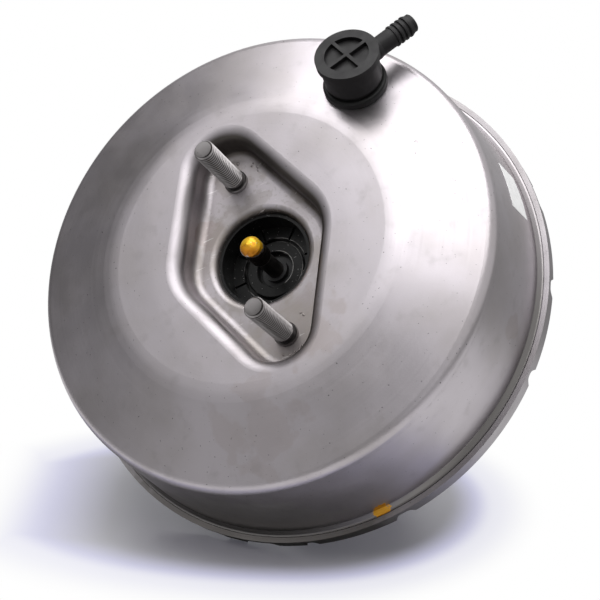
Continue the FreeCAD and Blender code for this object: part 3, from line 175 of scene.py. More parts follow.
class TreeSketch:
    """Writes the nodes of one tree."""

    def __init__(self, tree: NodeTree) -> None:
        """Start with the tree empty."""
        self.tree = tree
        tree.nodes.clear()

    def feed(self, socket: NodeSocket, value: object) -> None:
        """Link a socket to a value or output, or set it to a constant.

        Args:
            socket: the input.
            value: a value, an output socket, or a constant.
        """
        if isinstance(value, Value):
            value = value.socket
        if isinstance(value, NodeSocket):
            self.tree.links.new(value, socket)
        elif socket.type == "RGBA":
            socket.default_value = (*value, 1.0)
        else:
            socket.default_value = value

    def add(self, kind: str, settings: dict[str, object] | None = None, **inputs: object) -> Node:
        """Add a node, set its properties and feed its inputs.

        Args:
            kind: the node's type.
            settings: properties to set on the node.
            inputs: its sockets by name, with underscores for spaces.

        Returns:
            The node.
        """
        node = self.tree.nodes.new(kind)
        for key, value in (settings or {}).items():
            setattr(node, key, value)
        for name, value in inputs.items():
            self.feed(node.inputs[name.replace("_", " ")], value)
        return node

    def out(self, kind: str, output: int | str = 0, settings: dict[str, object] | None = None,
            **inputs: object) -> Value:
        """Add a node as add() does, and give one of its outputs."""
        return Value(self, self.add(kind, settings, **inputs).outputs[output])

    def operate(self, kind: str, settings: dict[str, object], output: int | str,
                operands: dict[int, object]) -> Value:
        """Add a node whose inputs are known by number.

        Args:
            kind: the node's type.
            settings: properties to set on the node.
            output: the output that is wanted.
            operands: what goes into each input.

        Returns:
            The output.
        """
        node = self.add(kind, settings)
        for index, value in operands.items():
            self.feed(node.inputs[index], value)
        return Value(self, node.outputs[output])

    def maths(self, operation: str, *values: object) -> Value:
        """Apply a Math node to its operands."""
        return self.operate("ShaderNodeMath", {"operation": operation}, 0, dict(enumerate(values)))

    def vector(self, operation: str, *values: object) -> Value:
        """Apply a Vector Math node, which gives a number for a length or a dot product."""
        output = "Value" if operation in ("LENGTH", "DOT_PRODUCT") else "Vector"
        operands = dict(enumerate(values))
        return self.operate("ShaderNodeVectorMath", {"operation": operation}, output, operands)

    def part(self, vector: object, letter: str) -> Value:
        """Give the X, Y or Z of a vector."""
        return self.out("ShaderNodeSeparateXYZ", letter, Vector=vector)

    # The Mix node has the sockets of every type side by side, so they are found by number.
    def mix(self, factor: object, first: object, second: object) -> Value:
        """Mix two numbers by the share of the second."""
        return self.operate("ShaderNodeMix", {"data_type": "FLOAT"}, 0, {0: factor, 2: first, 3: second})

    def blend(self, factor: object, first: object, second: object) -> Value:
        """Mix two colours by the share of the second."""
        return self.operate("ShaderNodeMix", {"data_type": "RGBA"}, 2, {0: factor, 6: first, 7: second})

    def remap(self, value: object, low: float, high: float, start: float = 0.0, end: float = 1.0) -> Value:
        """Map a value smoothly, so that low gives start and high gives end."""
        return self.out("ShaderNodeMapRange", settings={"interpolation_type": "SMOOTHSTEP"}, Value=value,
                        From_Min=low, From_Max=high, To_Min=start, To_Max=end)


class ShaderSketch(TreeSketch):
    """Writes the node tree of one material."""

    SPOT_CORE = 0.8

    def __init__(self, name: str) -> None:
        """Start an empty material of that name."""
        self.material = bpy.data.materials.new(name)
        self.material.use_nodes = True
        super().__init__(self.material.node_tree)
        self.place = self.out("ShaderNodeTexCoord", "Object")

    def lean(self, direction: Point, vector: object = None) -> Value:
        """Give how far the surface point, or another vector, lies along a direction."""
        return self.vector("DOT_PRODUCT", vector or self.place, direction)

    def radius(self, stretch: Point = (1.0, 0.0, 1.0)) -> Value:
        """Give the surface point's distance from the Y axis, with a factor on each axis."""
        return self.vector("LENGTH", self.vector("MULTIPLY", self.place, stretch))

    def noise(self, scale: float, detail: float = 3.0, stretch: Point = (1.0, 1.0, 1.0)) -> Value:
        """Give noise with a scale in features per metre, finer layers and a factor on each axis."""
        place = self.vector("MULTIPLY", self.place, stretch)
        return self.out("ShaderNodeTexNoise", Vector=place, Scale=scale, Detail=detail)

    def mottled(self, marks: Mottle) -> Value:
        """Give the mask of a mottle, between 0 and its strength."""
        noise = self.noise(marks.scale, marks.detail, marks.stretch)
        return self.remap(noise, marks.low, marks.high, 0.0, marks.strength)

    def spot(self, colour_patch: ColourPatch, scale: float) -> Value:
        """Give the mask of a ragged round patch.

        Args:
            colour_patch: the patch.
            scale: noise features per metre at its edge.

        Returns:
            A mask that is 1 inside the patch.
        """
        distance = self.vector("LENGTH", self.vector("SUBTRACT", self.place, colour_patch.centre))
        wobble = (self.noise(scale) - 0.5) * (colour_patch.radius * colour_patch.ragged * 2)
        return self.remap(distance + wobble, colour_patch.radius, colour_patch.radius * self.SPOT_CORE)

    def bump(self, height: object, depth: float) -> Value:
        """Turn a relief between 0 and 1 into a normal, for a depth in metres."""
        return self.out("ShaderNodeBump", Height=height, Distance=depth)

    def end(self, shader: Node) -> Material:
        """Use a shader as the surface and give the material."""
        self.add("ShaderNodeOutputMaterial", Surface=shader.outputs[0])
        return self.material

    def surface(self, **inputs: object) -> Material:
        """Finish the material with a Principled shader and its inputs by name."""
        return self.end(self.add("ShaderNodeBsdfPrincipled", **inputs))


@dataclass(frozen=True)
class ColourPatch:
    """A patch on a steel surface where its colour changes, with an edge that noise moves."""

    centre: Point
    radius: float
    colour: Colour
    strength: float
    ragged: float


@dataclass(frozen=True)
class ScuffsAndShade:
    """Mottled, scratched part of a sheet, round the axis and behind a station, with painted shade on its
    steep walls and towards one side.
    """

    reach: float
    front: float
    colour: Colour
    bright: Colour
    # Colour of the painted shade on the steep walls and on the darker side.
    wall: Colour
    stretch: Point = (0.8, 0.0, 1.25)
    shaded_side: Point = (0.94, 0.0, 0.34)
    shaded_way: Point = (0.33, 0.0, -0.94)
    roughening: float = 0.13
    far_edge: float = 1.25
    near_edge: float = 1.05
    inner_edge: float = 0.85
    front_fade: float = 2.0 * MM

    SIDE_SHADE = (-2.0 * MM, 42.0 * MM, 0.0, 0.35)
    STEEP = (0.97, 0.68)
    TURNED = (-0.4, 0.3, 0.3, 1.0)
    CLOUD = Mottle(46.0, 6.0, 0.42, 0.62, 0.50)
    PATCH = Mottle(95.0, 7.0, 0.50, 0.55, 0.36)
    FLECK = Mottle(520.0, 3.0, 0.57, 0.64, 0.35)
    SCORED = Mottle(170.0, 3.0, 0.66, 0.70, 0.55, (6.0, 1.0, 0.7))

    def over(self, sketch: ShaderSketch, colour: Value, rough: Value) -> tuple[Value, Value]:
        """Lay the marks over a colour.

        Args:
            sketch: material that is being written.
            colour: colour of the clean sheet.
            rough: its roughness.

        Returns:
            The marked colour and its roughness.
        """
        radius = sketch.radius(self.stretch)
        near = sketch.remap(radius, self.reach * self.far_edge, self.reach * self.near_edge)
        behind = sketch.remap(sketch.part(sketch.place, "Y"), self.front - self.front_fade, self.front)
        inside = sketch.remap(radius, self.reach, self.reach * self.inner_edge) * behind
        # Painted shade: steep recess walls, most of all those turned one way, are darkened to the wall
        # colour.
        facing = sketch.out("ShaderNodeNewGeometry", "Normal")
        steep = sketch.remap(sketch.part(facing, "Y").apply("ABSOLUTE"), *self.STEEP)
        wall_shade = steep * sketch.remap(sketch.lean(self.shaded_way, facing), *self.TURNED)
        colour = sketch.blend(near * wall_shade, colour, self.wall)
        # Painted shade: the recess floor darkens towards one side.
        side_shade = sketch.remap(sketch.lean(self.shaded_side), *self.SIDE_SHADE)
        colour = sketch.blend(side_shade * inside, colour, self.wall)
        for marks in (self.CLOUD, self.PATCH, self.FLECK):
            colour = sketch.blend(sketch.mottled(marks) * inside, colour, self.colour)
        colour = sketch.blend(sketch.mottled(self.SCORED) * inside, colour, self.bright)
        return colour, rough + near * self.roughening


@dataclass(frozen=True)
class SteelFinish:
    """Satin sheet or turned steel with cloudy tint, fine grain and faint drawing rings."""

    name: str
    colour: Colour
    tint: Colour
    roughness: float
    grain: Grain
    rings: float = 0.0
    stains_and_shade: tuple[ColourPatch, ...] = ()
    paint: tuple[ColourPatch, ...] = ()
    painted_shade: Colour | None = None
    scuffs_and_shade: ScuffsAndShade | None = None

    CLOUDS = Mottle(28.0, 4.0, 0.35, 0.7)
    SMUDGES = Mottle(120.0, 5.0, 0.55, 0.75, 0.35)
    PITS = Mottle(900.0, 1.0, 0.74, 0.8)
    SHEEN = Mottle(60.0, 4.0, 0.3, 0.7, 0.08)
    SHEEN_DROP = 0.035
    SMUDGE_SHADE = 0.8
    PIT_SHADE = 0.35
    PATCH_EDGE = 90.0
    PAINT_EDGE = 420.0
    PAINT_COVER = 0.55
    PAINT_ROUGHENING = 0.12
    RING_SCALE = 900.0
    RING_DETAIL = 4.0
    RING_SHEEN = (0.35, 0.65, -0.015, 0.02)

    def make(self) -> Material:
        """Build the material."""
        sketch = ShaderSketch(self.name)
        colour = sketch.blend(sketch.mottled(self.CLOUDS), self.colour, self.tint)
        colour = sketch.blend(sketch.mottled(self.SMUDGES), colour, shaded(self.tint, self.SMUDGE_SHADE))
        colour = sketch.blend(sketch.mottled(self.PITS), colour, shaded(self.colour, self.PIT_SHADE))
        # Stains, and painted shade where a patch stands for it, as on the rear shell's lower rim.
        for colour_patch in self.stains_and_shade:
            cover = sketch.spot(colour_patch, self.PATCH_EDGE) * colour_patch.strength
            colour = sketch.blend(cover, colour, colour_patch.colour)
        # Painted shade, read from a mesh attribute: thread roots, the studs' relief cuts and collars, and
        # the shell's flange bend are darkened.
        if self.painted_shade:
            painted_shade_share = sketch.out("ShaderNodeAttribute", "Fac", {"attribute_name": SHADE_ATTRIBUTE})
            colour = sketch.blend(painted_shade_share, colour, self.painted_shade)
        rough = sketch.mottled(self.SHEEN) + (self.roughness - self.SHEEN_DROP)
        if self.scuffs_and_shade:
            colour, rough = self.scuffs_and_shade.over(sketch, colour, rough)
        scale, depth = self.grain.value
        relief = sketch.noise(scale, RELIEF_DETAIL)
        if self.rings:
            bands = sketch.out("ShaderNodeTexNoise", settings={"noise_dimensions": "1D"}, W=sketch.radius(),
                               Scale=self.RING_SCALE, Detail=self.RING_DETAIL)
            relief = relief + bands * self.rings
            rough = rough + sketch.remap(bands, *self.RING_SHEEN)
        metal: Value | float = 1.0
        for dab in self.paint:
            cover = sketch.spot(dab, self.PAINT_EDGE)
            colour = sketch.blend(cover, colour, dab.colour)
            metal = metal - cover * self.PAINT_COVER
            rough = rough + cover * self.PAINT_ROUGHENING
        normal = sketch.bump(relief, depth)
        return sketch.surface(Base_Color=colour, Metallic=metal, Roughness=rough, Normal=normal)


@dataclass(frozen=True)
class MouldedFinish:
    """Plastic or rubber with a fine grain, faint wear, specks of dust and painted highlights along the edges
    of rings.
    """

    name: str
    colour: Colour
    worn: Colour
    roughness: float
    grain: Grain
    dust: float = 0.0
    shine: float = 0.5
    highlight_rings: tuple[float, ...] = ()

    WEAR = Mottle(150.0, 5.0, 0.45, 0.75)
    HIGHLIGHT_BREAKS = Mottle(85.0, 2.0, 0.47, 0.58)
    SHEEN = Mottle(220.0, 3.0, 0.3, 0.7, 0.12)
    SHEEN_DROP = 0.06
    DUST_SCALE = 1500.0
    DUST_BAND = (0.83, 0.87)
    DUST_COLOUR = (0.42, 0.41, 0.4)
    HIGHLIGHT_COLOUR = (0.40, 0.39, 0.38)
    HIGHLIGHT_WIDTH = (0.22 * MM, 0.08 * MM)

    def make(self) -> Material:
        """Build the material."""
        sketch = ShaderSketch(self.name)
        colour = sketch.blend(sketch.mottled(self.WEAR), self.colour, self.worn)
        if self.dust:
            low, high = self.DUST_BAND
            specks = Mottle(self.DUST_SCALE, 0.0, low - self.dust, high - self.dust)
            colour = sketch.blend(sketch.mottled(specks), colour, self.DUST_COLOUR)
        # Painted highlights: thin light lines at the edges of the moulded rings.
        for ring in self.highlight_rings:
            away = (sketch.radius() - ring).apply("ABSOLUTE")
            line = sketch.remap(away, *self.HIGHLIGHT_WIDTH) * sketch.mottled(self.HIGHLIGHT_BREAKS)
            colour = sketch.blend(line, colour, self.HIGHLIGHT_COLOUR)
        rough = sketch.mottled(self.SHEEN) + (self.roughness - self.SHEEN_DROP)
        scale, depth = self.grain.value
        normal = sketch.bump(sketch.noise(scale, RELIEF_DETAIL), depth)
        return sketch.surface(Base_Color=colour, Roughness=rough, Normal=normal,
                              Specular_IOR_Level=self.shine)


@dataclass(frozen=True)
class FibreFinish:
    """Felt or foam with a loose matted relief."""

    name: str
    colour: Colour
    shade: Colour
    matting: Point = (1.0, 3.0, 1.0)
    detail: float = 6.0
    band: tuple[float, float] = (0.35, 0.65)
    roughness: float = 0.95

    def make(self) -> Material:
        """Build the material."""
        sketch = ShaderSketch(self.name)
        scale, depth = Grain.FIBRE.value
        fibres = sketch.noise(scale, self.detail, self.matting)
        colour = sketch.blend(sketch.remap(fibres, *self.band), self.shade, self.colour)
        return sketch.surface(Base_Color=colour, Roughness=self.roughness, Normal=sketch.bump(fibres, depth))


@dataclass(frozen=True)
class DippedTipFinish:
    """Marking paint on the nose of a dark steel tip, worn through at its edge, with painted shade on its
    lower side.
    """

    name: str = "dipped_tip"
    paint: Colour = (1.0, 0.60, 0.02)
    shaded_paint: Colour = (1.0, 0.38, 0.015)
    dark_paint: Colour = (0.80, 0.28, 0.01)
    bare: Colour = (0.55, 0.53, 0.5)
    steel: Colour = (0.055, 0.045, 0.04)
    paint_end: float = -10.9 * MM
    bare_end: float = -9.6 * MM
    foot: tuple[float, float] = (-0.40 * MM, -0.20 * MM)
    drip: float = 4.0 * MM
    paint_fade: float = 0.3 * MM
    bare_fade: float = 0.5 * MM
    roughness: float = 0.38
    worn_side: Point = (0.16, 0.0, -0.38)
    low_side: Point = (0.84, 0.0, -0.42)

    LOW = (-1.5 * MM, 3.2 * MM)
    DARK = Mottle(320.0, 3.0, 0.54, 0.66)
    CHIPS = Mottle(700.0, 2.0, 0.68, 0.72)
    DRIP_SCALE = 420.0
    PAINT_COVER = 0.6
    PAINT_SCALE = 450.0
    PAINT_RELIEF = 0.25 * MM

    def make(self) -> Material:
        """Build the material."""
        sketch = ShaderSketch(self.name)
        along = sketch.part(sketch.place, "Y")
        wobble = (sketch.noise(self.DRIP_SCALE) - 0.5) * self.drip
        station = along + wobble + sketch.lean(self.worn_side)
        painted = sketch.remap(station, self.paint_end + self.paint_fade, self.paint_end)
        bare = sketch.remap(station, self.bare_end + self.bare_fade, self.bare_end)
        colour = sketch.blend(bare, self.steel, self.bare)
        colour = sketch.blend(sketch.remap(along, *self.foot), colour, self.bare)
        # Painted shade: the paint turns deeper orange on the tip's lower side.
        low = sketch.remap(sketch.lean(self.low_side), *self.LOW)
        coat = sketch.blend(sketch.mottled(self.DARK), sketch.blend(low, self.paint, self.shaded_paint),
                            self.dark_paint)
        painted = painted * (1.0 - sketch.mottled(self.CHIPS))
        colour = sketch.blend(painted, colour, coat)
        normal = sketch.bump(sketch.noise(self.PAINT_SCALE), self.PAINT_RELIEF)
        metal = 1.0 - painted * self.PAINT_COVER
        return sketch.surface(Base_Color=colour, Metallic=metal, Roughness=self.roughness, Normal=normal)


@dataclass(frozen=True)
class PaperFinish:
    """Plain white label stock with a pearly face, faintly creased."""

    name: str = "plain_label"
    colour: Colour = (0.98, 0.98, 0.98)
    shade: float = 0.93
    crease: float = 0.04 * MM
    crease_scale: float = 180.0
    roughness: float = 0.75

    CLOUDS = Mottle(300.0, 3.0, 0.4, 0.7)

    def make(self) -> Material:
        """Build the material."""
        sketch = ShaderSketch(self.name)
        colour = sketch.blend(sketch.mottled(self.CLOUDS), self.colour, shaded(self.colour, self.shade))
        normal = sketch.bump(sketch.noise(self.crease_scale, RELIEF_DETAIL), self.crease)
        return sketch.surface(Base_Color=colour, Metallic=1.0, Roughness=self.roughness, Normal=normal)


SHELL_COLOUR = (0.512, 0.478, 0.506)
WARM_STEEL = (0.445, 0.413, 0.423)
RUST = (0.27, 0.19, 0.14)
SMUDGE = (0.36, 0.30, 0.28)
LOW_STEEL = (0.545, 0.53, 0.505)
# Painted shade for the rear shell's lower rim, which faces the shadowed floor.
RIM_SHADE = (0.15, 0.14, 0.13)
MARK_PAINT = (0.95, 0.47, 0.03)
WORN_RUBBER = (0.035, 0.034, 0.033)

FINISHES: dict[str, SteelFinish | MouldedFinish | FibreFinish | DippedTipFinish] = {
    "shell_steel": SteelFinish(
        "drawn_front_shell", SHELL_COLOUR, WARM_STEEL, 0.335, Grain.DRAWN_SHEET, rings=0.5,
        # Painted shade in the flange bend, by the mesh attribute.
        painted_shade=(0.20, 0.19, 0.185),
        stains_and_shade=(
            ColourPatch((-22 * MM, 0, -19 * MM), 8 * MM, RUST, 0.3, 0.9),
            ColourPatch((47 * MM, -2 * MM, 12 * MM), 22 * MM, SMUDGE, 0.30, 0.9),
            ColourPatch((78 * MM, 4 * MM, -22 * MM), 26 * MM, SMUDGE, 0.22, 0.9),
            ColourPatch((70 * MM, 30 * MM, 89 * MM), 7 * MM, SMUDGE, 0.30, 0.8),
            ColourPatch((118 * MM, 54 * MM, -62 * MM), 56 * MM, LOW_STEEL, 0.55, 0.3),
        ),
        paint=(ColourPatch((115.3 * MM, 49.0 * MM, 2.2 * MM), 4.1 * MM, MARK_PAINT, 1.0, 0.85),),
        # The last colour here is painted shade for the steep recess walls and one side of the recess floor.
        scuffs_and_shade=ScuffsAndShade(52 * MM, -0.8 * MM, (0.32, 0.29, 0.272), (0.72, 0.70, 0.70),
                          (0.115, 0.104, 0.096)),
    ),
    "rear_shell_steel": SteelFinish(
        "drawn_rear_shell", (0.39, 0.37, 0.385), (0.33, 0.31, 0.315), 0.38, Grain.DRAWN_SHEET, rings=0.4,
        # Painted shade darkens the lower rim.
        stains_and_shade=(ColourPatch((100 * MM, 56 * MM, -60 * MM), 72 * MM, RIM_SHADE, 0.8, 0.3),)),
    "plate_steel": SteelFinish("pressed_plate", grey(0.42), (0.34, 0.33, 0.32), 0.42, Grain.DRAWN_SHEET),
    "stud_steel": SteelFinish("grey_stud", (0.39, 0.37, 0.372), (0.25, 0.235, 0.235), 0.29, Grain.TURNED,
                              # Its last colour is painted shade in the thread roots, the relief cut under
                              # the thread and the collar.
                              painted_shade=(0.022, 0.02, 0.019)),
    "rod_steel": SteelFinish("dark_rod", (0.11, 0.10, 0.095), (0.075, 0.065, 0.06), 0.34, Grain.TURNED),
    "spring_steel": SteelFinish("spring_wire", (0.22, 0.22, 0.23), grey(0.15), 0.33, Grain.TURNED),
    "tip_paint": DippedTipFinish(),
    "guide_plastic": MouldedFinish("guide_cup", grey(0.006), grey(0.010), 0.34, Grain.MOULDED, 0.03, 0.27,
                                   (15.55 * MM,)),
    "carrier_plastic": MouldedFinish("seal_carrier", grey(0.006), grey(0.011), 0.36, Grain.MOULDED, 0.03,
                                     0.27, (9.15 * MM, 13.75 * MM)),
    "valve_plastic": MouldedFinish("valve_moulding", (0.016, 0.015, 0.016), (0.026, 0.025, 0.026), 0.5,
                                   Grain.MOULDED, shine=0.3),
    "grommet_rubber": MouldedFinish("valve_grommet", grey(0.006), grey(0.012), 0.5, Grain.RUBBER, shine=0.3),
    "seal_rubber": MouldedFinish("seal_rubber", (0.014, 0.014, 0.015), grey(0.022), 0.5, Grain.RUBBER),
    "diaphragm_rubber": MouldedFinish("diaphragm_rubber", (0.02, 0.02, 0.021), WORN_RUBBER, 0.6,
                                      Grain.RUBBER),
    "boot_rubber": MouldedFinish("boot_rubber", (0.018, 0.018, 0.019), WORN_RUBBER, 0.55, Grain.RUBBER),
    "piston_resin": MouldedFinish("piston_resin", (0.05, 0.046, 0.042), (0.075, 0.07, 0.065), 0.45,
                                  Grain.MOULDED),
    "felt": FibreFinish("silencer_felt", (0.36, 0.34, 0.31), (0.22, 0.2, 0.18)),
    "filter_foam": FibreFinish("filter_foam", grey(0.12), grey(0.05)),
}


@cache
def material(slot: str) -> Material:
    """Make the finish of one of the record's slots, once."""
    return FINISHES[slot].make()


def dress(node: Object, slot: str) -> None:
    """Give a node of the frame the finish of its slot.

    Args:
        node: the node's object.
        slot: name of the slot.
    """
    if not node.material_slots:
        node.data.materials.append(material(slot))
    for held in node.material_slots:
        held.material = material(slot)


def link(name: str, data: ID) -> Object:
    """Put an object in the scene."""
    made = bpy.data.objects.new(name, data)
    bpy.context.scene.collection.objects.link(made)
    return made


class GeometrySketch(TreeSketch):
    """Writes one geometry tree with named inputs and grows plain meshes from it."""

    WELD = 0.001 * MM

    def __init__(self, name: str, sizes: Iterable[str]) -> None:
        """Start a tree.

        Args:
            name: the tree's name.
            sizes: names of its number inputs.
        """
        super().__init__(bpy.data.node_groups.new(name, "GeometryNodeTree"))
        self.new_socket("Geometry", "Geometry")
        self.sockets = {size: self.new_socket(size, "Float") for size in sizes}
        self.finish_socket = self.new_socket("Finish", "Material")
        self.new_socket("Geometry", "Geometry", "OUTPUT")
        self.entry = self.add("NodeGroupInput")

    def new_socket(self, name: str, kind: str, way: str = "INPUT") -> str:
        """Give the tree a socket of a kind and return its identifier."""
        socket = self.tree.interface.new_socket(name=name, in_out=way, socket_type=f"NodeSocket{kind}")
        return socket.identifier

    def size(self, name: str) -> Value:
        """Give one of the tree's inputs."""
        return Value(self, self.entry.outputs[name])

    def weld(self, distance: float, *parts: Value) -> Value:
        """Join several geometries and merge their points.

        Args:
            distance: how near points are merged.
            parts: the geometries.

        Returns:
            The joined geometry.
        """
        joined = self.add("GeometryNodeJoinGeometry")
        for part in parts:
            self.feed(joined.inputs[0], part)
        return self.out("GeometryNodeMergeByDistance", Geometry=joined.outputs[0], Distance=distance)

    def wrapped_grid(self, around: int, rows: Value, shape: Callable[[Value, Value], tuple[Value, Value]],
                     shade: Callable[[Value, Value], Value] | None = None) -> Value:
        """Wrap a grid about the Y axis into a surface of revolution with a winding phase.

        Args:
            around: number of divisions about the axis.
            rows: number of rows along the axis.
            shape: gives radius and station from the share of the length and the share of the turn.
            shade: gives the share of painted shade at a point, which grows with how deep it lies between
                crests, kept as an attribute.

        Returns:
            The surface.
        """
        grid = self.out("GeometryNodeMeshGrid", Size_X=1.0, Size_Y=1.0, Vertices_X=around + 1,
                        Vertices_Y=rows)
        flat = self.out("GeometryNodeInputPosition")
        turn = self.part(flat, "X") + 0.5
        share = self.part(flat, "Y") + 0.5
        radius, station = shape(share, turn)
        if shade is not None:
            grid = self.out("GeometryNodeStoreNamedAttribute",
                            settings={"data_type": "FLOAT", "domain": "POINT"},
                            Geometry=grid, Name=SHADE_ATTRIBUTE, Value=shade(share, turn))
        angle = turn * FULL_TURN
        place = self.out("ShaderNodeCombineXYZ", X=radius * angle.apply("COSINE"), Y=station,
                         Z=radius * angle.apply("SINE"))
        return self.weld(self.WELD, self.out("GeometryNodeSetPosition", Geometry=grid, Position=place))

    def turned(self, geometry: Value, station: Value, angle: float) -> Value:
        """Turn a geometry about X by an angle and move it to a station on the Y axis."""
        shift = self.out("ShaderNodeCombineXYZ", Y=station)
        return self.out("GeometryNodeTransform", Geometry=geometry, Translation=shift,
                        Rotation=(angle, 0.0, 0.0))

    def close(self, geometry: Value, **inputs: object) -> None:
        """End the tree: put the geometry on every seat, realize it, shade it and give the finish.

        Args:
            geometry: what the tree makes.
            inputs: further inputs of the node that puts it on the seats.
        """
        spread = self.out("GeometryNodeInstanceOnPoints", Points=self.size("Geometry"), Instance=geometry,
                          **inputs)
        real = self.out("GeometryNodeRealizeInstances", Geometry=spread)
        smooth = self.out("GeometryNodeSetShadeSmooth", Geometry=real, Shade_Smooth=True)
        skinned = self.out("GeometryNodeSetMaterial", Geometry=smooth, Material=self.size("Finish"))
        self.feed(self.add("NodeGroupOutput").inputs[0], skinned)

    def grow(self, name: str, seats: Sequence[Point], sizes: dict[str, float], finish: Material) -> Object:
        """Grow a plain mesh object from the tree.

        Args:
            name: the object's name.
            seats: points that the tree builds on.
            sizes: values of the tree's inputs.
            finish: its material.

        Returns:
            The object, with no modifier left on it.
        """
        seed_mesh = bpy.data.meshes.new(f"{name}_seats")
        seed_mesh.from_pydata(seats, [], [])
        holder = link(f"{name}_seats", seed_mesh)
        modifier = holder.modifiers.new("growth", "NODES")
        modifier.node_group = self.tree
        for size, value in sizes.items():
            modifier[self.sockets[size]] = value
        modifier[self.finish_socket] = finish
        bpy.context.view_layer.update()
        evaluated = holder.evaluated_get(bpy.context.evaluated_depsgraph_get())
        mesh = bpy.data.meshes.new_from_object(evaluated)
        holder.modifiers.remove(modifier)
        bpy.data.objects.remove(holder)
        return place_mesh(name, mesh, finish)


def place_mesh(name: str, mesh: Mesh, finish: Material) -> Object:
    """Link a mesh as a finished piece at the origin.

    Args:
        name: the piece's name.
        mesh: its mesh, in the row's frame.
        finish: its material.

    Returns:
        The object.
    """
    mesh.name = name
    if not mesh.materials:
        mesh.materials.append(finish)
    for index in range(len(mesh.materials)):
        mesh.materials[index] = finish
    return link(name, mesh)


def settle(shape: bmesh.types.BMesh, mesh: Mesh) -> Mesh:
    """Write a shape into a mesh, free it and give the mesh."""
    shape.to_mesh(mesh)
    shape.free()
    return mesh


def skin(name: str, profile: Sequence[Station], steps: int, closed: bool) -> Mesh:
    """Turn a profile about the Y axis.

    Args:
        name: the mesh's name.
        profile: (radius, station) points.
        steps: divisions about the axis.
        closed: whether the last point joins the first.

    Returns:
        The mesh.
    """
    shape = bmesh.new()
    ring = [shape.verts.new((radius, station, 0.0)) for radius, station in profile]
    followers = ring[1:] + ring[:1] if closed else ring[1:]
    edges = [shape.edges.new(pair) for pair in zip(ring, followers)]
    bmesh.ops.spin(shape, geom=ring + edges, cent=(0, 0, 0), axis=(0, 1, 0), angle=FULL_TURN, steps=steps)
    bmesh.ops.remove_doubles(shape, verts=shape.verts, dist=SAME_POINT)
    return settle(shape, bpy.data.meshes.new(name))


def knit(mesh: Mesh, distance: float = 0.0) -> None:
    """Merge points that are nearer than a distance, and turn all normals outwards."""
    shape = bmesh.new()
    shape.from_mesh(mesh)
    if distance:
        bmesh.ops.remove_doubles(shape, verts=shape.verts, dist=distance)
    bmesh.ops.recalc_face_normals(shape, faces=shape.faces)
    settle(shape, mesh)


def lathe(name: str, profile: Sequence[Station], steps: int = 64) -> Mesh:
    """Turn a solid, with smooth faces and sharp edges.

    Args:
        name: the mesh's name.
        profile: (radius, station) points of a closed outline, or one that starts and ends on the axis.
        steps: divisions about the axis.

    Returns:
        The mesh.
    """
    mesh = skin(name, profile, steps, closed=profile[0][0] > 0 or profile[-1][0] > 0)
    knit(mesh)
    mesh.shade_smooth()
    mesh.set_sharp_from_angle(angle=TURNED_EDGE)
    return mesh


def absorb(piece: Object, mesh: Mesh, seats: Sequence[Point] = ON_AXIS) -> None:
    """Add a mesh to a piece, once at every seat.

    Args:
        piece: the piece that grows.
        mesh: the mesh, standing on the Y axis.
        seats: where its axis goes.
    """
    shape = bmesh.new()
    shape.from_mesh(piece.data)
    for seat in seats:
        start = len(shape.verts)
        shape.from_mesh(mesh)
        shape.verts.ensure_lookup_table()
        bmesh.ops.translate(shape, verts=shape.verts[start:], vec=Vector(seat))
    settle(shape, piece.data)


def mark_painted_shade(mesh: Mesh, share: Callable[[Vector], float]) -> None:
    """Mark how much painted shade a mesh gets, for its finish to read.

    Args:
        mesh: the mesh.
        share: gives the share of painted shade at a point.
    """
    layer = mesh.attributes.new(SHADE_ATTRIBUTE, "FLOAT", "POINT")
    for vertex, held in zip(mesh.vertices, layer.data):
        held.value = share(vertex.co)


def ramp(value: float, low: float, high: float) -> float:
    """Give where a value lies between two others, held between 0 and 1."""
    return min(max((value - low) / (high - low), 0.0), 1.0)


@dataclass(frozen=True)
class Thread:
    """Sizes of a thread: its crest radius, depth and pitch, and how much smaller its nose is."""

    radius: float
    depth: float
    pitch: float
    chamfer: float


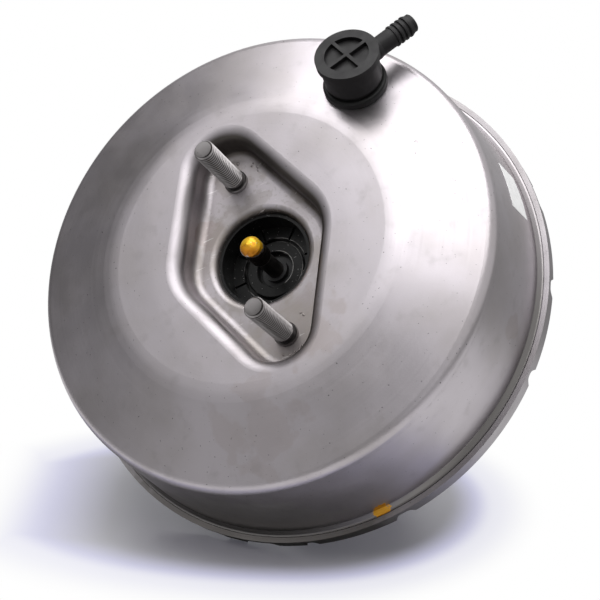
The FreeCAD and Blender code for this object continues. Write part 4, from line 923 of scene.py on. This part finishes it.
@dataclass
class ThreadedParts:
    """Studs and rods whose threads are wound by one geometry tree."""

    around: int = 48
    rows_per_turn: int = 10
    steepness: float = 1.5
    root_share: float = 0.2
    shade_reach: float = 1.75
    tree: GeometrySketch = field(init=False)

    SIZES = ("Radius", "Depth", "Pitch", "Length", "Chamfer", "Direction", "Foot")

    def __post_init__(self) -> None:
        """Write the tree."""
        sketch = GeometrySketch("wound_thread", self.SIZES)
        radius, depth, pitch, length, chamfer, direction, foot = (sketch.size(name) for name in self.SIZES)
        rows = length / pitch * float(self.rows_per_turn) + 2.0

        def crest(share: Value, turn: Value) -> Value:
            """Give the height of the thread's wave."""
            wave = (share * length / pitch + turn * direction).apply("PINGPONG", 0.5) * 2.0
            return (wave * self.steepness - self.root_share).clamped()

        def wound(share: Value, turn: Value) -> tuple[Value, Value]:
            """Give radius and station on the thread."""
            along = share * length
            fade = ((length - along) / pitch).apply("MINIMUM", 1.0)
            thread = radius - depth + depth * crest(share, turn) * fade
            return thread.apply("MINIMUM", radius - chamfer + along), foot + (length - along) * direction

        def painted_shade_share(share: Value, turn: Value) -> Value:
            """Give the painted shade, which lies below the crests."""
            return (crest(share, turn) * -2.0 + self.shade_reach).clamped()

        surface = sketch.wrapped_grid(self.around, rows, wound, painted_shade_share)
        caps = []
        for reach, station in ((radius - chamfer, foot + length * direction), (radius - depth, foot)):
            rim = sketch.out("GeometryNodeMeshCircle", settings={"fill_type": "NGON"},
                             Vertices=self.around, Radius=reach)
            caps.append(sketch.turned(rim, station, math.pi / 2))
        sketch.close(sketch.weld(2 * sketch.WELD, surface, *caps))
        self.tree = sketch

    def wind(self, name: str, seats: Sequence[Point], slot: str, thread: Thread, foot: float,
             tip: float) -> Object:
        """Wind a thread at every seat.

        Args:
            name: the piece's name.
            seats: points on the studs' axes.
            slot: material slot.
            thread: sizes of the thread.
            foot: station where it starts.
            tip: station where it ends.

        Returns:
            The piece.
        """
        length = abs(tip - foot)
        direction = math.copysign(1.0, tip - foot)
        values = (thread.radius, thread.depth, thread.pitch, length, thread.chamfer, direction, foot)
        piece = self.tree.grow(name, seats, dict(zip(self.SIZES, values)), material(slot))
        knit(piece.data)
        piece.data.set_sharp_from_angle(angle=THREAD_EDGE)
        return piece


@dataclass
class MasterCylinderStuds:
    """The two front studs with their threads, relief grooves, collars and heads."""

    threads: ThreadedParts
    thread: Thread = Thread(4.93 * MM, 0.82 * MM, 1.5 * MM, 1.15 * MM)
    offset: float = 41.5 * MM
    tip: float = -36.0 * MM
    groove_front: float = -3.2 * MM
    collar_front: float = -1.9 * MM
    collar_back: float = -0.02 * MM
    groove_radius: float = 4.2 * MM
    collar_radius: float = 5.6 * MM
    head_front: float = 4.8 * MM
    head_radius: float = 7.5 * MM
    head_back: float = 7.8 * MM
    ease: float = 0.35 * MM
    groove_shade: float = 0.75
    collar_shade: float = 0.35

    def painted_shade_share(self, place: Vector) -> float:
        """Give the painted shade of the shank at a point: darkest in the relief cut under the thread, less
        on the collar.
        """
        if place.y > self.collar_front:
            return self.collar_shade if place.y <= 0.0 else 0.0
        return self.groove_shade if place.y >= self.groove_front - self.ease else 0.0

    def build(self) -> Object:
        """Build both studs as one piece in place of the frame's node."""
        seats = [(side * self.offset, 0.0, 0.0) for side in (-1, 1)]
        piece = self.threads.wind("master_cylinder_stud_threads", seats, "stud_steel", self.thread,
                                  self.groove_front, self.tip)
        ease = self.ease
        shank = lathe("stud_shank", [
            (0, self.groove_front - ease), (self.groove_radius, self.groove_front - ease),
            (self.groove_radius, self.collar_front),
            (self.collar_radius - ease, self.collar_front), (self.collar_radius, self.collar_front + ease),
            (self.collar_radius, self.collar_back), (self.thread.radius, self.collar_back),
            (self.thread.radius, self.head_front),
            (self.head_radius, self.head_front), (self.head_radius, self.head_back - ease),
            (self.head_radius - ease, self.head_back), (0, self.head_back),
        ])
        # Painted shade under the thread and on the collar.
        mark_painted_shade(shank, self.painted_shade_share)
        absorb(piece, shank, seats)
        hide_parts("master_cylinder_studs")
        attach(piece, Body.SHELL.value)
        return piece


@dataclass
class FirewallStuds:
    """The four rear studs with their threads and heads."""

    threads: ThreadedParts
    thread: Thread = Thread(3.93 * MM, 0.68 * MM, 1.25 * MM, 0.95 * MM)
    offset: float = 35.0 * MM
    face: float = 82.0 * MM
    tip: float = 107.0 * MM
    plain: float = 3.0 * MM
    head_radius: float = 6.5 * MM
    head_front: float = 74.0 * MM
    head_back: float = 77.0 * MM
    ease: float = 0.35 * MM

    def build(self) -> Object:
        """Build the four studs as one piece in place of the frame's node."""
        seats = [(side * self.offset, 0.0, level * self.offset) for side in (-1, 1) for level in (-1, 1)]
        start = self.face + self.plain
        radius, ease = self.thread.radius, self.ease
        piece = self.threads.wind("firewall_stud_threads", seats, "stud_steel", self.thread, start, self.tip)
        shank = lathe("firewall_shank", [
            (0, self.head_front), (self.head_radius - ease, self.head_front),
            (self.head_radius, self.head_front + ease), (self.head_radius, self.head_back),
            (radius, self.head_back), (radius, start - ease), (radius - ease, start), (0, start),
        ])
        absorb(piece, shank, seats)
        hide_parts("firewall_studs")
        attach(piece, Body.SHELL.value)
        return piece


@dataclass(frozen=True)
class Coil:
    """One coil spring: its node, body and joint, the share of length kept at the limit, and its sizes."""

    node: str
    body: Body
    joint: str
    keep: float
    wire: float
    first_radius: float
    last_radius: float
    turns: float
    start: float
    end: float


@dataclass
class CoilSprings:
    """The coil springs on the booster's axis, wound from one tree."""

    steps_per_turn: int = 48
    wire_sides: int = 14
    tree: GeometrySketch = field(init=False)

    SIZES = ("Wire", "First radius", "Last radius", "Turns", "Start", "End")
    COILS = (
        Coil("return_spring", Body.SHELL, "boost_stroke", 0.47, 1.9 * MM, 30.4 * MM, 39.0 * MM, 5.5,
             10.1 * MM, 66.45 * MM),
        Coil("poppet_spring", Body.PISTON, "valve_travel", 0.92, 0.5 * MM, 10.3 * MM, 10.3 * MM, 4.0,
             90.3 * MM, 101.95 * MM),
        Coil("input_return_spring", Body.PISTON, "valve_travel", 0.93, 0.8 * MM, 7.2 * MM, 7.2 * MM, 4.5,
             103.4 * MM, 120.65 * MM),
    )

    def __post_init__(self) -> None:
        """Write the tree."""
        sketch = GeometrySketch("wound_spring", self.SIZES)
        wire, first_radius, last_radius, turns, start, end = (sketch.size(name) for name in self.SIZES)
        helix = sketch.out("GeometryNodeCurveSpiral", Resolution=self.steps_per_turn, Rotations=turns,
                           Start_Radius=first_radius, End_Radius=last_radius,
                           Height=end - start - wire * 2.0)
        round_wire = sketch.out("GeometryNodeCurvePrimitiveCircle", Resolution=self.wire_sides, Radius=wire)
        swept = sketch.out("GeometryNodeCurveToMesh", Curve=helix, Profile_Curve=round_wire, Fill_Caps=True)
        sketch.close(sketch.turned(swept, start + wire, -math.pi / 2))
        self.tree = sketch

    def wind(self, coil: Coil) -> Object:
        """Wind a spring in place of its node; its first end stays where it is."""
        values = (coil.wire, coil.first_radius, coil.last_radius, coil.turns, coil.start, coil.end)
        piece = self.tree.grow(f"{coil.node}_coil", ON_AXIS, dict(zip(self.SIZES, values)),
                               material("spring_steel"))
        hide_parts(coil.node)
        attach(piece, coil.body.value)
        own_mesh(piece)
        return piece

    def build(self) -> list[Object]:
        """Wind every spring."""
        return [self.wind(coil) for coil in self.COILS]


@dataclass
class DustBoot:
    """Rubber bellows over the piston's neck, with folds that follow a rule."""

    grip_radius: float = 30.35 * MM
    grip_start: float = 101.0 * MM
    run_in: float = 1.2 * MM
    first_fold: float = 110.4 * MM
    pitch: float = 7.4 * MM
    folds: int = 5
    peak: float = 33.9 * MM
    valley: float = 29.0 * MM
    end_wall: float = 148.4 * MM
    end_taper: float = 1.4 * MM
    dish: float = 0.5 * MM
    dish_share: float = 0.66
    lip_radius: float = 7.45 * MM
    lip_flare: float = 1.5 * MM
    lip_rise: float = 1.0 * MM
    lip_bevel: float = 0.6 * MM
    lip_end: float = 153.1 * MM
    wall: float = 1.2 * MM
    seam: float = 0.02 * MM
    around: int = 96
    rows_per_fold: int = 16
    fullness: float = 0.8
    kept: float = 0.42

    # The grip and the band round it, in mm: out from the grip's radius, and along from its start.
    GRIP = ((-0.3, 0.0), (0.0, 0.4), (0.0, 2.0), (1.1, 2.6), (1.1, 5.2), (0.0, 5.8))

    def bellows(self) -> Object:
        """Grow the folds."""
        sketch = GeometrySketch("folded_boot", ("Start", "Pitch", "Folds", "Peak", "Valley"))
        start, pitch, folds, peak, valley = (sketch.size(name) for name in sketch.sockets)

        def folded(share: Value, turn: Value) -> tuple[Value, Value]:
            """Give radius and station on the folds."""
            swing = (share * folds * FULL_TURN).apply("COSINE") * -0.5 + 0.5
            radius = valley + (peak - valley) * swing.apply("POWER", self.fullness)
            return radius, start + share * folds * pitch

        sketch.close(sketch.wrapped_grid(self.around, folds * float(self.rows_per_fold) + 1.0, folded))
        values = (self.first_fold, self.pitch, float(self.folds), self.peak, self.valley)
        return sketch.grow("dust_boot_bellows", ON_AXIS, dict(zip(sketch.sockets, values)),
                           material("boot_rubber"))

    def build(self) -> Object:
        """Build the boot in place of the frame's node."""
        piece = self.bellows()
        last_fold = self.first_fold + self.folds * self.pitch
        absorb(piece, skin("grip", [
            *((self.grip_radius + out * MM, self.grip_start + along * MM) for out, along in self.GRIP),
            (self.grip_radius, self.first_fold - self.run_in), (self.valley, self.first_fold),
        ], self.around, closed=False))
        absorb(piece, skin("end", [
            (self.valley, last_fold), (self.valley - self.end_taper, self.end_wall),
            (self.valley * self.dish_share, self.end_wall + self.dish),
            (self.lip_radius + self.lip_flare, self.end_wall),
            (self.lip_radius, self.end_wall + self.lip_rise),
            (self.lip_radius, self.lip_end - self.lip_bevel),
            (self.lip_radius - self.lip_bevel, self.lip_end),
        ], self.around, closed=False))
        knit(piece.data, self.seam)
        thick = piece.modifiers.new("wall", "SOLIDIFY")
        thick.thickness = self.wall
        thick.offset = -1.0
        piece.data.shade_smooth()
        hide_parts("dust_boot")
        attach(piece, Body.SHELL.value)
        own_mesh(piece)
        return piece


@dataclass
class InputRod:
    """Ball-ended rod with a collar, and a thread where the lock nut and clevis screw on."""

    threads: ThreadedParts
    thread: Thread = Thread(4.8 * MM, 0.8 * MM, 1.5 * MM, 1.0 * MM)
    ball: float = 94.5 * MM
    ball_radius: float = 5.0 * MM
    ball_steps: int = 16
    neck_radius: float = 3.3 * MM
    shoulder: float = 101.0 * MM
    shoulder_length: float = 1.5 * MM
    collar_front: float = 121.0 * MM
    collar_back: float = 122.6 * MM
    collar_radius: float = 8.9 * MM
    thread_start: float = 154.5 * MM
    end: float = 176.0 * MM
    ease: float = 0.3 * MM

    def build(self) -> Object:
        """Build the rod in place of the frame's node."""
        piece = self.threads.wind("input_rod_turned", ON_AXIS, "rod_steel", self.thread, self.thread_start,
                                  self.end)
        sweep = math.pi - math.asin(self.neck_radius / self.ball_radius)
        angles = [math.pi - sweep * step / self.ball_steps for step in range(1, self.ball_steps + 1)]
        ball = [(self.ball_radius * math.sin(angle), self.ball + self.ball_radius * math.cos(angle))
                for angle in angles]
        radius, wide, ease = self.thread.radius, self.collar_radius, self.ease
        absorb(piece, lathe("rod_shank", [
            (0.0, self.ball - self.ball_radius), *ball,
            (self.neck_radius, self.shoulder), (radius, self.shoulder + self.shoulder_length),
            (radius, self.collar_front), (wide - ease, self.collar_front), (wide, self.collar_front + ease),
            (wide, self.collar_back - ease), (wide - ease, self.collar_back), (radius, self.collar_back),
            (radius, self.thread_start - ease), (radius - self.thread.depth, self.thread_start),
            (0, self.thread_start),
        ]))
        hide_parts("input_rod")
        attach(piece, Body.INPUT_ROD.value)
        return piece


@dataclass
class WeldSpatter:
    """Drops of spatter on the recess floor beside the studs, scattered by a tree."""

    drops: tuple[tuple[float, float], ...] = (
        (-47.3, 10.4), (-46.0, 9.2), (-42.6, 11.4), (-44.2, 12.0), (-50.6, 3.4), (49.9, 5.2), (50.8, 3.2),
        (50.6, 1.0), (51.0, -1.6), (49.8, -4.4), (34.6, 9.2), (36.2, 10.1),
    )
    radius: float = 0.75 * MM
    height: float = 0.05 * MM
    smallest: Point = (0.45, 0.35, 0.45)
    largest: Point = (1.25, 0.7, 1.1)
    subdivisions: int = 3
    seed: int = 7

    def build(self) -> Object:
        """Build the drops as one piece on the front shell."""
        sketch = GeometrySketch("spatter_drops", ("Radius",))
        drop = sketch.out("GeometryNodeMeshIcoSphere", Radius=sketch.size("Radius"),
                          Subdivisions=self.subdivisions)
        scale = sketch.out("FunctionNodeRandomValue", "Value", {"data_type": "FLOAT_VECTOR"},
                           Min=self.smallest, Max=self.largest, Seed=self.seed)
        sketch.close(drop, Scale=scale)
        seats = [(x * MM, self.height, z * MM) for x, z in self.drops]
        piece = sketch.grow("weld_spatter", seats, {"Radius": self.radius}, material("shell_steel"))
        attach(piece, Body.SHELL.value)
        return piece


@dataclass
class FlangeFace:
    """Finely divided face of the front shell's skirt, its flange and the bend between them."""

    rim: float = 117.12 * MM
    bend: float = 1.8 * MM
    softness: float = 0.42 * MM
    corner_steps: int = 6
    lift: float = 0.04 * MM
    sink: float = 0.01 * MM
    shares: tuple[float, ...] = (0.11, 0.15, 0.35, 0.6, 0.85, 0.93)
    shaded_span: tuple[float, float] = (-30 * MM, 60 * MM)
    around: int = 360

    def eased(self, corner: Vector, before: Vector, after: Vector) -> list[Vector]:
        """Round one corner of the profile.

        Args:
            corner: radius and station of the corner.
            before: direction of the line that comes in.
            after: direction of the line that leaves.

        Returns:
            Points along the rounding.
        """
        first, last = corner - before * self.softness, corner + after * self.softness
        shares = (step / self.corner_steps for step in range(self.corner_steps + 1))
        return [first.lerp(corner, share).lerp(corner.lerp(last, share), share) for share in shares]

    def painted_shade_share(self, place: Vector) -> float:
        """Give the painted shade at a point: it lies in the bend, most of it low down."""
        bend_start = SKIRT_BACK[1] - self.bend - self.softness
        return ramp(place.y, bend_start, bend_start + self.softness) * ramp(place.x, *self.shaded_span)

    def profile(self) -> list[Vector]:
        """Give the skirt, the eased bend and the flange as (radius, station) points."""
        front, back = Vector(SKIRT_FRONT), Vector(SKIRT_BACK)
        uphill = (back - front).normalized()
        low = back - uphill * self.bend
        high = Vector((back.x + self.bend, back.y))
        across = (high - low).normalized()
        skirt = [front.lerp(back, share) for share in self.shares]
        return [*skirt, *self.eased(low, uphill, across), *self.eased(high, across, Vector((1.0, 0.0))),
                Vector((self.rim, back.y))]

    def build(self) -> Object:
        """Build the face as a thin closed ring that lies on the shell."""
        outer = self.profile()
        face = outer[:1]
        for before, point, after in zip(outer, outer[1:], outer[2:] + outer[-1:]):
            face.append(point + Vector((after.y - before.y, before.x - after.x)).normalized() * self.lift)
        sunk = [point + Vector((-self.sink, self.sink)) for point in outer]
        mesh = lathe("front_shell_flange_face", face + sunk[::-1], self.around)
        piece = place_mesh("front_shell_flange_face", mesh, material("shell_steel"))
        # Painted shade in the bend, darker low down.
        mark_painted_shade(mesh, self.painted_shade_share)
        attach(piece, Body.SHELL.value)
        return piece


@dataclass
class SideLabel:
    """Bare white sticker on the front shell's skirt."""

    clock: float = 85.7
    station: float = 32.3 * MM
    length: float = 23.0 * MM
    width: float = 18.5 * MM
    heights: tuple[float, float] = (0.06 * MM, 0.18 * MM)
    columns: int = 24
    rows: int = 8

    def point(self, column: int, row: int, height: float) -> Point:
        """Place one point of the sticker on the skirt.

        Args:
            column: its column, round the skirt.
            row: its row, towards +Y.
            height: distance off the steel.

        Returns:
            The point.
        """
        along = self.length * (column / self.columns - 0.5)
        station = self.station + self.width * (row / self.rows - 0.5)
        (front_radius, front), (back_radius, back) = SKIRT_FRONT, SKIRT_BACK
        radius = front_radius + (back_radius - front_radius) * (station - front) / (back - front)
        clock = math.radians(self.clock) - along / radius
        return (radius + height) * math.cos(clock), station, (radius + height) * math.sin(clock)

    def build(self) -> Object:
        """Build the sticker as a thin closed patch."""
        columns, rows = self.columns, self.rows
        shape = bmesh.new()
        layers = []
        for height in self.heights:
            layer = [[shape.verts.new(self.point(c, r, height)) for r in range(rows + 1)]
                     for c in range(columns + 1)]
            layers.append(layer)
            for c in range(columns):
                for r in range(rows):
                    shape.faces.new((layer[c][r], layer[c + 1][r], layer[c + 1][r + 1], layer[c][r + 1]))
        low, high = layers
        rim = [(c, 0) for c in range(columns)] + [(columns, r) for r in range(rows)]
        rim += [(c, rows) for c in range(columns, 0, -1)] + [(0, r) for r in range(rows, 0, -1)]
        for (c, r), (next_c, next_r) in zip(rim, rim[1:] + rim[:1]):
            shape.faces.new((low[c][r], low[next_c][next_r], high[next_c][next_r], high[c][r]))
        bmesh.ops.recalc_face_normals(shape, faces=shape.faces)
        mesh = settle(shape, bpy.data.meshes.new("side_label"))
        piece = place_mesh("side_label", mesh, PaperFinish().make())
        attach(piece, Body.SHELL.value)
        return piece


@dataclass(frozen=True)
class DarkSide:
    """A darker side of the room: its way in the camera's axes, its edges as cosines, and how dark it is."""

    way: Point
    inner: float
    outer: float
    depth: float


@dataclass(frozen=True)
class FloorFinish:
    """White floor that keeps the object's shadow within a set outline, with a painted shadow fringe and
    tint, painted shade and a painted glow that only reflections see, and fades into the backdrop.
    """

    name: str = "studio_floor"
    shadow_right: float = 99 * MM
    shadow_left: float = 160 * MM
    shadow_depth: float = 106 * MM
    shadow_middle: Point = (25 * MM, 55 * MM, 0.0)
    roughness: float = 0.3
    tone: Colour = (0.85, 0.85, 0.88)
    reflected_shade_tone: Colour = (0.43, 0.43, 0.44)
    shadow_tint: Colour = (0.74, 0.74, 1.0)

    CORE = (0.74, 0.98, 0.04, 0.80)
    SHADOW_FRINGE = (0.95, 1.24, 0.0, 0.20)
    TAIL_END = (-80 * MM, -160 * MM)
    TINTED = (0.45, 1.0)
    MIRRORED_FADE = (0.85, 1.5)
    MIRRORED_GLOW = (2.0, 4.5, 0.92, 0.36)

    def make(self) -> Material:
        """Build the material."""
        sketch = ShaderSketch(self.name)
        middle = sketch.vector("SUBTRACT", sketch.place, self.shadow_middle)
        side = sketch.part(middle, "X")
        across = (side * (1 / self.shadow_right)).apply("MAXIMUM", side * (-1 / self.shadow_left))
        along = sketch.part(middle, "Y") * (1 / self.shadow_depth)
        distance = (across * across + along * along).apply("SQRT")
        path = sketch.add("ShaderNodeLightPath").outputs
        mirrored = sketch.maths("MAXIMUM", path["Is Glossy Ray"], path["Is Transmission Ray"])
        # The lit floor shows only inside the outline, which sets the shadow's reach; the fringe mixes some
        # unshadowed lit floor into the white, a painted shadow edge.
        seen = sketch.remap(distance, *self.CORE) + sketch.remap(distance, *self.SHADOW_FRINGE)
        seen = seen.apply("MAXIMUM", sketch.remap(side, *self.TAIL_END))
        far = seen * (1.0 - mirrored) + sketch.remap(distance, *self.MIRRORED_FADE) * mirrored
        # Painted shade: reflections see the floor darker than the camera does.
        tone = sketch.blend(path["Is Glossy Ray"], self.tone, self.reflected_shade_tone)
        near = sketch.add("ShaderNodeBsdfPrincipled", Roughness=self.roughness, Base_Color=tone)
        # Painted reflection: the floor glows for reflections only, brighter near the object than far off.
        reflected_glow = mirrored * sketch.remap(distance, *self.MIRRORED_GLOW)
        # Painted shadow tint: the white turns bluish towards the shadow.
        tint = sketch.blend(sketch.remap(far, *self.TINTED), self.shadow_tint, WHITE)
        white = sketch.add("ShaderNodeEmission", Color=tint,
                           Strength=sketch.maths("MAXIMUM", path["Is Camera Ray"], reflected_glow))
        clear = sketch.add("ShaderNodeBsdfTransparent")
        behind = sketch.add("ShaderNodeNewGeometry").outputs["Backfacing"]
        shown = near
        for factor, other in ((far, white), (behind, clear)):
            layered = sketch.add("ShaderNodeMixShader")
            for socket, value in zip(layered.inputs, (factor, shown.outputs[0], other.outputs[0])):
                sketch.feed(socket, value)
            shown = layered
        return sketch.end(shown)


@dataclass
class Studio:
    """Camera, floor, lamp and surroundings."""

    right: Point = (0.283241, 0.384926, 0.878412)
    up: Point = (-0.838882, -0.344474, 0.421445)
    back: Point = (0.464816, -0.856253, 0.225338)
    eye: Point = (336.3 * MM, -566.5 * MM, 159.8 * MM)
    focal: float = 90.0
    sensor: float = 36.0
    clip: tuple[float, float] = (0.05, 20.0)
    floor_normal: Point = (-0.690, -0.554, 0.465)
    floor_reach: float = 4.0
    floor_gap: float = 0.2 * MM
    floor_sides: int = 96
    target: Point = (0.0, 25 * MM, 0.0)
    lamp_way: Point = (0.0, 0.89, 0.38)
    lamp_distance: float = 0.90
    lamp_size: float = 1.22
    lamp_power: float = 7.8
    reflected: float = 0.80
    ambient: float = 0.22

    DARK_SIDES = (
        DarkSide((-0.85, 0.38, -0.30), 0.97, 0.64, 0.62),
        DarkSide((-0.97, 0.13, 0.12), 0.97, 0.86, 0.50),
        DarkSide((-0.42, -0.10, 0.90), 0.98, 0.70, 0.38),
        DarkSide((0.75, -0.04, -0.66), 0.99, 0.85, 0.42),
        DarkSide((-0.05, -0.55, -0.83), 0.90, 0.65, 0.60),
        DarkSide((0.30, 0.15, -0.94), 0.98, 0.85, 0.32),
    )

    def seen(self, way: Point) -> Vector:
        """Turn a direction given in the camera's axes into the row's frame."""
        right, up, back = way
        mixed = Vector(self.right) * right + Vector(self.up) * up + Vector(self.back) * back
        return mixed.normalized()

    def camera(self) -> None:
        """Set the camera at the photograph's angle."""
        data = bpy.data.cameras.new("view")
        data.lens = self.focal
        data.sensor_width = self.sensor
        data.clip_start, data.clip_end = self.clip
        camera = link("view", data)
        axes = Matrix((self.right, self.up, self.back)).transposed()
        camera.matrix_world = Matrix.Translation(self.eye) @ axes.to_4x4()
        bpy.context.scene.camera = camera

    def surroundings(self) -> None:
        """White backdrop, with the room's darker sides for what the metal reflects."""
        world = bpy.data.worlds.new("studio")
        world.use_nodes = True
        sketch = TreeSketch(world.node_tree)
        way = sketch.out("ShaderNodeTexCoord", "Generated")
        darkness: Value | None = None
        for side in self.DARK_SIDES:
            turned = sketch.vector("DOT_PRODUCT", way, tuple(self.seen(side.way)))
            dark = sketch.remap(turned, side.outer, side.inner, 0.0, side.depth)
            darkness = darkness.apply("MAXIMUM", dark) if darkness else dark
        path = sketch.add("ShaderNodeLightPath").outputs
        mirrored = sketch.maths("MAXIMUM", path["Is Glossy Ray"], path["Is Transmission Ray"])
        lit = sketch.mix(mirrored, self.ambient, self.reflected - darkness)
        shown = sketch.mix(path["Is Camera Ray"], lit, 1.0)
        backdrop = sketch.add("ShaderNodeBackground", Color=WHITE, Strength=shown)
        sketch.add("ShaderNodeOutputWorld", Surface=backdrop.outputs[0])
        bpy.context.scene.world = world

    def floor(self, object_points: Iterable[Vector]) -> None:
        """Lay the floor under the lowest point of the leaning booster.

        Args:
            object_points: points of the object.
        """
        normal = Vector(self.floor_normal).normalized()
        lowest = min(object_points, key=normal.dot)
        centre = lowest - normal * self.floor_gap
        sideways = Vector(self.right) - normal * normal.dot(Vector(self.right))
        sideways.normalize()
        turn = Matrix((sideways, normal.cross(sideways), normal)).transposed().to_4x4()
        shape = bmesh.new()
        bmesh.ops.create_circle(shape, cap_ends=True, segments=self.floor_sides, radius=self.floor_reach)
        mesh = settle(shape, bpy.data.meshes.new("studio_floor"))
        floor = link("studio_floor", mesh)
        floor.matrix_world = Matrix.Translation(centre) @ turn
        mesh.materials.append(FloorFinish().make())
        floor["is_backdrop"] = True

    def lamp(self) -> None:
        """Hang the round soft lamp so that it faces the object."""
        data = bpy.data.lights.new("top_softbox", "AREA")
        data.shape = "DISK"
        data.size = self.lamp_size
        data.energy = self.lamp_power
        lamp = link("top_softbox", data)
        away = self.seen(self.lamp_way)
        lamp.location = Vector(self.target) + away * self.lamp_distance
        lamp.rotation_mode = "QUATERNION"
        lamp.rotation_quaternion = away.to_track_quat("Z", "Y")

    def build(self, object_points: Iterable[Vector]) -> None:
        """Set the whole studio.

        Args:
            object_points: points of the object.
        """
        self.camera()
        self.surroundings()
        self.floor(object_points)
        self.lamp()
        bpy.context.scene.view_settings.view_transform = "Standard"


def shown_points() -> list[Vector]:
    """Give every vertex of the object's meshes."""
    return [piece.matrix_world @ vertex.co
            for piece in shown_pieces() if piece.type == "MESH" for vertex in piece.data.vertices]


def main() -> None:
    """Build every sub-assembly in order and report each piece."""
    logging.basicConfig(level=logging.INFO, format="%(name)s: %(message)s")
    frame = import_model()
    slots = {part["node"]: part["material_slot"] for part in frame["record"]["subparts"]}
    for name, node in frame["nodes"].items():
        dress(node, slots[name])
        LOG.info("dressed %s as %s", name, slots[name])
    threads = ThreadedParts()
    pieces = [
        MasterCylinderStuds(threads).build(),
        FirewallStuds(threads).build(),
        InputRod(threads).build(),
        *CoilSprings().build(),
        DustBoot().build(),
        WeldSpatter().build(),
        FlangeFace().build(),
        SideLabel().build(),
    ]
    for piece in pieces:
        LOG.info("built %s with %d faces", piece.name, len(piece.data.polygons))
    Studio().build(shown_points())


if __name__ == "__main__":
    main()
